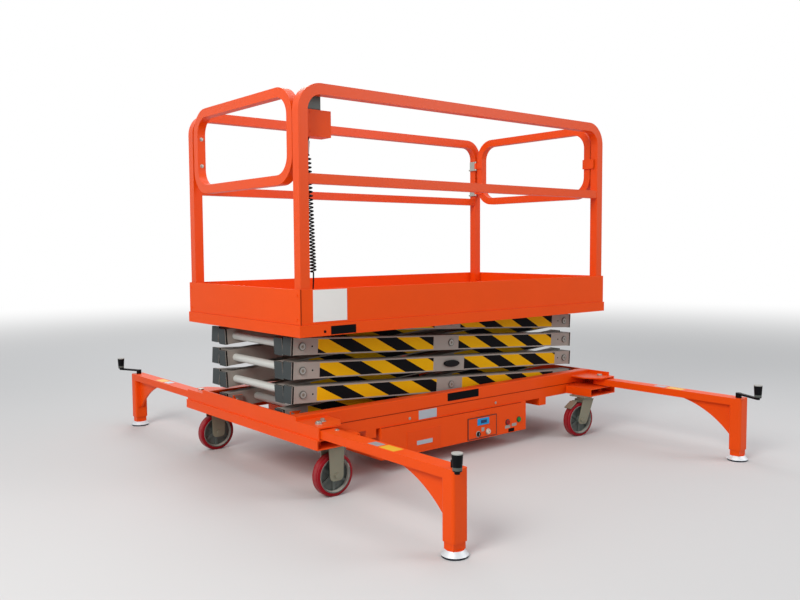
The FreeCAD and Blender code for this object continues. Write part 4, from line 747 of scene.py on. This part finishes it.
def crank_colour(tree):
    """Black, with a pale ring at the grip's top and a grey collar near its foot."""
    position = add(tree, "ShaderNodeTexCoord")
    split = add(tree, "ShaderNodeSeparateXYZ", {0: position.outputs["Object"]})
    colour = CRANK_BLACK
    for drop, tone in reversed(GRIP_BANDS):
        above = maths(tree, "GREATER_THAN", split.outputs["Z"], CRANK_TOP - drop)
        mixed = add(tree, "ShaderNodeMix", {"Factor": above, "A": colour, "B": tone}, data_type="RGBA")
        colour = mixed.outputs["Result"]
    return colour


def jack_finish(centre):
    """Rubber sole, bright foot, orange inner leg."""
    if centre.z < SOLE_TOP:
        return 2
    return 1 if centre.z < FOOT_TOP else 0


pad_steel = finish("bright foot pad", (0.66, 0.69, 0.72), roughness=0.42, grain=900, depth=0.00004,
                   mottle=0.06, dust=0.05, metallic=0.35)
sole_rubber = finish("sole rubber", (0.008, 0.011, 0.022), roughness=0.6, grain=500, depth=0.0001,
                     dust=0.1, specular=0.1)
crank_black = finish("crank black", crank_colour, roughness=0.4, grain=500, dust=0.03, specular=0.1)
yellow_label = finish("blank yellow label", (0.80, 0.46, 0.03), roughness=0.35, grain=400, dust=0.0)
for corner in CORNERS:
    low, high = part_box(corner + "_outrigger")
    middle = (low.x + high.x) / 2

    def slim_gusset(point, middle=middle):
        """The gusset is one plate under the middle of the arm, set back from the tube's sides."""
        across = point.x - middle
        if abs(point.y) > GUSSET_START and abs(abs(across) - GUSSET_HALF_WIDTH) < 0.0006:
            return Vector((middle + math.copysign(GUSSET_PLATE_HALF, across), point.y, point.z))
        return point

    rounded(corner + "_outrigger", 0.004, (orange_paint,), segments=3, reshape=slim_gusset)
    rounded(corner + "_jack", 0.002, (orange_paint, pad_steel, sole_rubber), jack_finish)
    rounded(corner + "_crank", 0.003, (crank_black,), segments=3)
# Columns: label, its half width, its ends across the machine, finish and slot.
ARM_LABELS = (("_silver_label", 0.022, 0.975, 1.040, blank_silver, "zinc"),
              ("_yellow_label", 0.026, 1.055, 1.150, yellow_label, "grey_plastic"))
for corner in LABELLED:
    middle, side, _ = PIVOTS[corner + "_swing"]
    for name, half, start, end, material, slot in ARM_LABELS:
        near, far = sorted((math.copysign(start, side), math.copysign(end, side)))
        flat_plate(corner + name, (middle - half, near, ARM_TOP - LABEL_DEPTH[1]),
                   (middle + half, far, ARM_TOP + LABEL_DEPTH[0]), LABEL_EDGE, material,
                   corner + "_outrigger", slot)
bolt_heads("near_left_arm_bolt", [(-1.006, -0.694, ARM_TOP)], "+z", 0.0065, pin_steel,
           "near_left_outrigger", "zinc", flat=True)

# Scissor arms. Four crossed pairs of painted square tube, the inner pairs joined by round cross
# tubes; yellow and black tape on their outer faces, and plastic caps in their ends.
STAGES = (1, 2, 3, 4)
LEFT_HINGES = [PIVOTS[name] for name in ("lift", "knuckle_1", "knuckle_2", "knuckle_3", "platform_level")]
RIGHT_X = 2 * PIVOTS["cross_1"][0] - hinge_x
ARM_LENGTH = 1.913
ARM_FACES = {"outer": 0.395, "inner": 0.317}
ARM_PAINT = (0.36, 0.325, 0.29, 1)
CAP_START = 0.0545
SEAM_HALF_WIDTH = 0.0045
SEAM_AND_HOLE_SHADE_BLACK = (0.006, 0.006, 0.006, 1)
# Along an arm from its left hinge: the seam of an end cap, and the small hole beside it, whose dark inside
# is painted shade.
ARM_ENDS = ((-CAP_START, 0.057), (ARM_LENGTH + CAP_START, 1.858))
HOLE_RADIUS = 0.0045
HEAD_RADIUS = 0.018
# Columns: start of a ring on a pin's head, as a share of its radius, and the ring's colour.
PIN_TONES = ((0.0, (0.05, 0.04, 0.03, 1)), (0.16, (0.27, 0.23, 0.18, 1)), (0.34, (0.16, 0.15, 0.13, 1)),
             (0.46, (0.34, 0.335, 0.31, 1)), (0.86, (0.13, 0.125, 0.11, 1)))
TAPE_HALF_HEIGHT = 0.0335
TAPE_SLANT = 2.1
TAPE_DARK_SHARE = 0.48
TAPE_YELLOW = (0.80, 0.43, 0.003, 1)
TAPE_BLACK = (0.003, 0.003, 0.004, 1)
TAPE_VALUES = ("Start", "End", "Phase", "Period")
# The left and the right tape of each stage: start, end, phase and period along the arm.
TAPES = {
    4: ((0.088, 0.840, 0.190, 0.288), (1.030, 1.800, 1.160, 0.304)),
    3: ((0.090, 0.830, 0.219, 0.288), (1.014, 1.794, 1.200, 0.306)),
    2: ((0.098, 0.829, 0.275, 0.290), (1.056, 1.828, 1.268, 0.301)),
    1: ((0.080, 0.851, 0.163, 0.290), (1.040, 1.810, 1.150, 0.302)),
}
ARM_SOCKETS = (("Along", "NodeSocketFloat", 0.0), ("Up", "NodeSocketFloat", 0.0),
               ("Face", "NodeSocketFloat", 1.0), ("Color", "NodeSocketColor", (0.4, 0.4, 0.4, 1)))

hazard_tape, given, result = new_group(
    "Hazard Tape",
    ARM_SOCKETS + tuple((name, "NodeSocketFloat", 0.0) for name in TAPE_VALUES),
    (("Color", "NodeSocketColor"),))
slanted = maths(hazard_tape, "MULTIPLY_ADD", given["Up"], TAPE_SLANT, given["Along"])
shifted = maths(hazard_tape, "SUBTRACT", slanted, given["Phase"])
turns = maths(hazard_tape, "DIVIDE", shifted, given["Period"])
part = maths(hazard_tape, "FRACT", turns)
dark = maths(hazard_tape, "LESS_THAN", part, TAPE_DARK_SHARE)
after = maths(hazard_tape, "GREATER_THAN", given["Along"], given["Start"])
before = maths(hazard_tape, "LESS_THAN", given["Along"], given["End"])
height = maths(hazard_tape, "ABSOLUTE", given["Up"])
within = maths(hazard_tape, "LESS_THAN", height, TAPE_HALF_HEIGHT)
taped = maths(hazard_tape, "MULTIPLY", after, before)
taped = maths(hazard_tape, "MULTIPLY", taped, within)
taped = maths(hazard_tape, "MULTIPLY", taped, given["Face"])
stripes = add(hazard_tape, "ShaderNodeMix", {"Factor": dark, "A": TAPE_YELLOW, "B": TAPE_BLACK},
              data_type="RGBA")
shown = add(hazard_tape, "ShaderNodeMix", {"Factor": taped, "A": given["Color"],
                                           "B": stripes.outputs["Result"]}, data_type="RGBA")
hazard_tape.links.new(shown.outputs["Result"], result.inputs["Color"])

arm_seams_and_hole_shade, given, result = new_group("Arm Marks", ARM_SOCKETS, (("Color", "NodeSocketColor"),))
drop = maths(arm_seams_and_hole_shade, "MULTIPLY", given["Up"], given["Up"])
seam_and_hole_shade = 0.0
for end, hole in ARM_ENDS:
    beside = maths(arm_seams_and_hole_shade, "SUBTRACT", given["Along"], end)
    beside = maths(arm_seams_and_hole_shade, "ABSOLUTE", beside)
    seam = maths(arm_seams_and_hole_shade, "LESS_THAN", beside, SEAM_HALF_WIDTH)
    seam_and_hole_shade = maths(arm_seams_and_hole_shade, "MAXIMUM", seam, seam_and_hole_shade)
    # Painted shade: the small hole is a black disc on the arm's outer face, standing for the shade inside
    # the hole.
    beside = maths(arm_seams_and_hole_shade, "SUBTRACT", given["Along"], hole)
    reach = maths(arm_seams_and_hole_shade, "MULTIPLY_ADD", beside, beside, drop)
    inside = maths(arm_seams_and_hole_shade, "LESS_THAN", reach, HOLE_RADIUS ** 2)
    inside = maths(arm_seams_and_hole_shade, "MULTIPLY", inside, given["Face"])
    seam_and_hole_shade = maths(arm_seams_and_hole_shade, "MAXIMUM", inside, seam_and_hole_shade)
shown = add(arm_seams_and_hole_shade, "ShaderNodeMix", {"Factor": seam_and_hole_shade, "A": given["Color"], "B": SEAM_AND_HOLE_SHADE_BLACK},
            data_type="RGBA")
arm_seams_and_hole_shade.links.new(shown.outputs["Result"], result.inputs["Color"])


def arm_line(kind, stage):
    """An arm's left hinge, and its slope from there."""
    first, last = (stage - 1, stage) if kind == "inner" else (stage, stage - 1)
    start = Vector(LEFT_HINGES[first])
    rise = LEFT_HINGES[last][2] - LEFT_HINGES[first][2]
    return start, math.atan2(rise, RIGHT_X - hinge_x)


def arm_place(tree, kind, stage):
    """A place measured from an arm's left hinge: along the arm, across the machine, and up."""
    start, slope = arm_line(kind, stage)
    position = add(tree, "ShaderNodeTexCoord").outputs["Object"]
    laid = add(tree, "ShaderNodeMapping", {"Vector": position, "Location": tuple(start),
                                           "Rotation": (0, -slope, 0)}, vector_type="TEXTURE")
    return add(tree, "ShaderNodeSeparateXYZ", {0: laid.outputs[0]}).outputs


def pin_colour(kind, stage):
    """A pin head in flat rings of tone: a dark centre, a brown ring, a dark ring, a pale face and a dark
    rim.
    """
    def build(tree):
        place = arm_place(tree, kind, stage)
        nearest = 1.0
        for centre in (0.0, ARM_LENGTH / 2, ARM_LENGTH):
            beside = maths(tree, "SUBTRACT", place["X"], centre)
            square = maths(tree, "MULTIPLY", beside, beside)
            nearest = maths(tree, "MINIMUM", square, nearest)
        square = maths(tree, "MULTIPLY_ADD", place["Z"], place["Z"], nearest)
        reach = maths(tree, "SQRT", square)
        tones = add(tree, "ShaderNodeValToRGB", {"Fac": maths(tree, "MULTIPLY", reach, 1 / HEAD_RADIUS)})
        tones.color_ramp.interpolation = "CONSTANT"
        first, second = tones.color_ramp.elements
        first.color = PIN_TONES[0][1]
        second.position, second.color = PIN_TONES[1]
        for start, tone in PIN_TONES[2:]:
            tones.color_ramp.elements.new(start).color = tone
        return tones.outputs["Color"]
    return build


def arm_colour(kind, stage):
    """An arm's paint, tape, cap seams, and painted shade in its small holes, placed along the arm from its
    left hinge.
    """
    def build(tree):
        place = arm_place(tree, kind, stage)
        across = maths(tree, "ABSOLUTE", place["Y"])
        face = maths(tree, "GREATER_THAN", across, ARM_FACES[kind] - 0.0004)
        inputs = {"Along": place["X"], "Up": place["Z"], "Face": face, "Color": ARM_PAINT}
        for values in TAPES[stage]:
            tape = add(tree, "ShaderNodeGroup", {**inputs, **dict(zip(TAPE_VALUES, values))},
                       node_tree=hazard_tape)
            inputs["Color"] = tape.outputs["Color"]
        return add(tree, "ShaderNodeGroup", inputs, node_tree=arm_seams_and_hole_shade).outputs["Color"]
    return build


def arm_sorter(kind, stage):
    """Picks tape, cap or pin steel by a face's place on the arms."""
    start, slope = arm_line(kind, stage)
    along = Vector((math.cos(slope), 0, math.sin(slope)))
    outside = ARM_FACES[kind] + 0.0020

    def sort(centre):
        reach = (centre - start).dot(along)
        if abs(centre.y) > outside:
            return 2
        return 1 if reach < -CAP_START or reach > ARM_LENGTH + CAP_START else 0
    return sort


cap_plastic = finish("cap plastic", (0.040, 0.048, 0.050), roughness=0.5, grain=500, depth=0.0001,
                     mottle=0.2, dust=0.10, specular=0.25)
tube_paint = finish("pale tube paint", (0.58, 0.59, 0.56), roughness=0.28, grain=700, mottle=0.08, dust=0.1)
for stage in STAGES:
    for kind, node in (("outer", "outer_arms_%d" % stage), ("inner", "inner_frame_%d" % stage)):
        striped = finish("%s arms %d" % (kind, stage), arm_colour(kind, stage), roughness=0.5, grain=600,
                         mottle=0.08, dust=0.04, specular=0.06)
        pin_heads = finish("%s pins %d" % (kind, stage), pin_colour(kind, stage), roughness=0.36,
                           grain=1600, depth=0.00003, mottle=0.10, dust=0.10, metallic=0.5)
        rounded(node, 0.004, (striped, cap_plastic, pin_heads), arm_sorter(kind, stage))
    rounded("inner_tubes_%d" % stage, 0.002, (tube_paint,))

# Pivot cover. A flat oval cap of black moulded plastic is pressed over the middle pin of the
# second stage on the near side.
COVER_HALF_LENGTH = 0.057
COVER_HALF_HEIGHT = 0.019
COVER_DEPTH = 0.012
cover_black = finish("cover black", (0.004, 0.004, 0.005), roughness=0.4, grain=500, dust=0.02,
                     specular=0.12)
start, slope = arm_line("outer", 2)
pivot = start + Vector((math.cos(slope), 0, math.sin(slope))) * (ARM_LENGTH / 2)
pivot.y = -ARM_FACES["outer"] - 0.0006
deselect()
bpy.ops.mesh.primitive_cylinder_add(vertices=64, radius=1, depth=COVER_DEPTH,
                                    location=(0, 0, COVER_DEPTH / 2))
cover = bpy.context.object
cover.scale = (COVER_HALF_LENGTH, COVER_HALF_HEIGHT, 1)
settle()
bevel(cover, COVER_DEPTH * 0.4, segments=3)
cover.data.transform(Matrix.Translation(pivot) @ Matrix.Rotation(-slope, 4, "Y") @ TURNS_TO["-y"])
smooth(cover)
placed(cover, "pivot_cover", cover_black, "inner_2", "grip")

# Lift cylinder. A black painted barrel, pinned to the base, pushes a bright chromed rod against
# the first inner frame.
barrel_paint = finish("barrel black", (0.02, 0.02, 0.022), roughness=0.35, grain=700, dust=0.3)
rod_chrome = finish("rod chrome", (0.75, 0.76, 0.78), roughness=0.12, grain=900, depth=0.00001,
                    metallic=1.0, dust=0.1)
rounded("cylinder_barrel", 0.002, (barrel_paint,))
rounded("cylinder_rod", 0.001, (rod_chrome,))

# Platform deck. A steel floor sheet in a folded orange edge, welded over roller tracks and hinge
# lugs, with a blank plate and a screw at the near edge's left end.
EDGE_FACE = -0.558
rounded("deck", 0.0025, (orange_paint,))
front_plates("platform", (("edge_plate", EDGE_FACE, (-0.937, -0.795), (0.741, 0.780), THIN_PLATE_DEPTH,
                           THIN_PLATE_EDGE, blank_black, "grip"),))
bolt_heads("edge_screw", [(-0.970, EDGE_FACE, 0.757)], "-y", 0.004, blank_black, "platform", "grip",
           flat=True)

# Toe boards. Folded orange sheets stand round the platform on its edge, bolted together at the
# corners, with a blank white placard stuck on the near one.
TOE_FACE = -0.553
TOE_END = -1.100
rounded("toe_boards", 0.0015, (orange_paint,))
placard_white = finish("blank placard", (0.78, 0.77, 0.74), roughness=0.4, grain=400, dust=0.0, coat=0.2)
front_plates("platform", (
    ("placard", TOE_FACE, (-1.030, -0.842), (0.803, 0.948), THIN_PLATE_DEPTH, PLATE_EDGE, placard_white,
     "grey_plastic"),
    ("corner_seam", TOE_FACE, (-1.0965, -1.0915), (0.790, 0.9520), (0.0006, 0.0010), SEAM_AND_SHADOW_EDGE, seam_shade,
     "paint"),
))
bolt_heads("toe_bolts", [(TOE_END, y, z) for y in (-0.530, 0.530) for z in (0.815, 0.925)], "-x", 0.0045,
           orange_paint, "platform", "paint", flat=True)

# Guard rails. Bent orange square tube round the platform, with an end loop bolted to the left
# posts through spacers, and a gate on plated hinges at the right end.
LOOP_X = -1.065
LOOP_INNER_FACE = 0.443
SPACER_HEIGHTS = (1.574, 1.715)
rail_paint = finish("orange rail paint", (0.78, 0.070, 0.002), roughness=0.32, grain=700, depth=0.00006,
                    mottle=0.05, dust=0.05, coat=0.08, coat_roughness=0.2, specular=0.24)
for name in ("near_guard", "far_guard", "end_guard"):
    rounded(name, 0.007, (rail_paint,), segments=3)
rounded("gate", 0.006, (rail_paint,), segments=3)
for side, face, towards in (("far", LOOP_INNER_FACE, "-y"), ("near", -LOOP_INNER_FACE, "+y")):
    places = [(LOOP_X, face, height) for height in SPACER_HEIGHTS]
    bolt_heads(side + "_spacer_bolts", places, towards, 0.006, pin_steel, "platform", "zinc")
rounded("gate_hinges", 0.0015, (pin_steel,))

# Control box. An orange steel box with a grey plastic head hangs on the near left post, and the
# cord leaves it through a black gland and a pale stepped sleeve.
GLAND_HEIGHT = 0.018
SCREW_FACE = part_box("console_head")[0].y - 0.008
SLEEVE_DROP = 0.0545
gland_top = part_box("console")[0].z + GLAND_HEIGHT
# Radius and height round the section of the sleeve.
SLEEVE_PROFILE = ((0.0045, 0.0), (0.0070, 0.0), (0.0080, 0.004), (0.0080, 0.012), (0.0090, 0.015),
                  (0.0090, 0.026), (0.0102, 0.029), (0.0102, 0.042), (0.0115, 0.045), (0.0115, 0.054),
                  (0.0045, 0.054))
head_plastic = finish("grey head plastic", (0.07, 0.088, 0.078), roughness=0.4, grain=500, depth=0.0001,
                      dust=0.1)
gland_black = finish("gland plastic", (0.006, 0.006, 0.007), roughness=0.4, grain=600, dust=0.05,
                     specular=0.15)
sleeve_pale = finish("pale sleeve", (0.50, 0.46, 0.43), roughness=0.45, grain=500, dust=0.05)


def console_finish(centre):
    """1 on the cord's black gland under the box."""
    return 1 if centre.z < gland_top - 0.0005 else 0


rounded("console", 0.004, (orange_paint, gland_black), console_finish, segments=3)
rounded("console_head", 0.005, (head_plastic,), segments=3)
bolt_heads("console_screws", [(-0.994, SCREW_FACE, z) for z in (1.745, 1.661)], "-y", 0.003, door_paint,
           "platform", "paint", flat=True)
turned_ring("cord_sleeve", SLEEVE_PROFILE, (CORD_EXIT.x, CORD_EXIT.y, CORD_EXIT.z - SLEEVE_DROP), "+z",
            sleeve_pale, "platform", "grey_plastic")
floor_gland = frame["nodes"]["floor_gland"].data
floor_gland.materials.clear()
floor_gland.materials.append(gland_black)
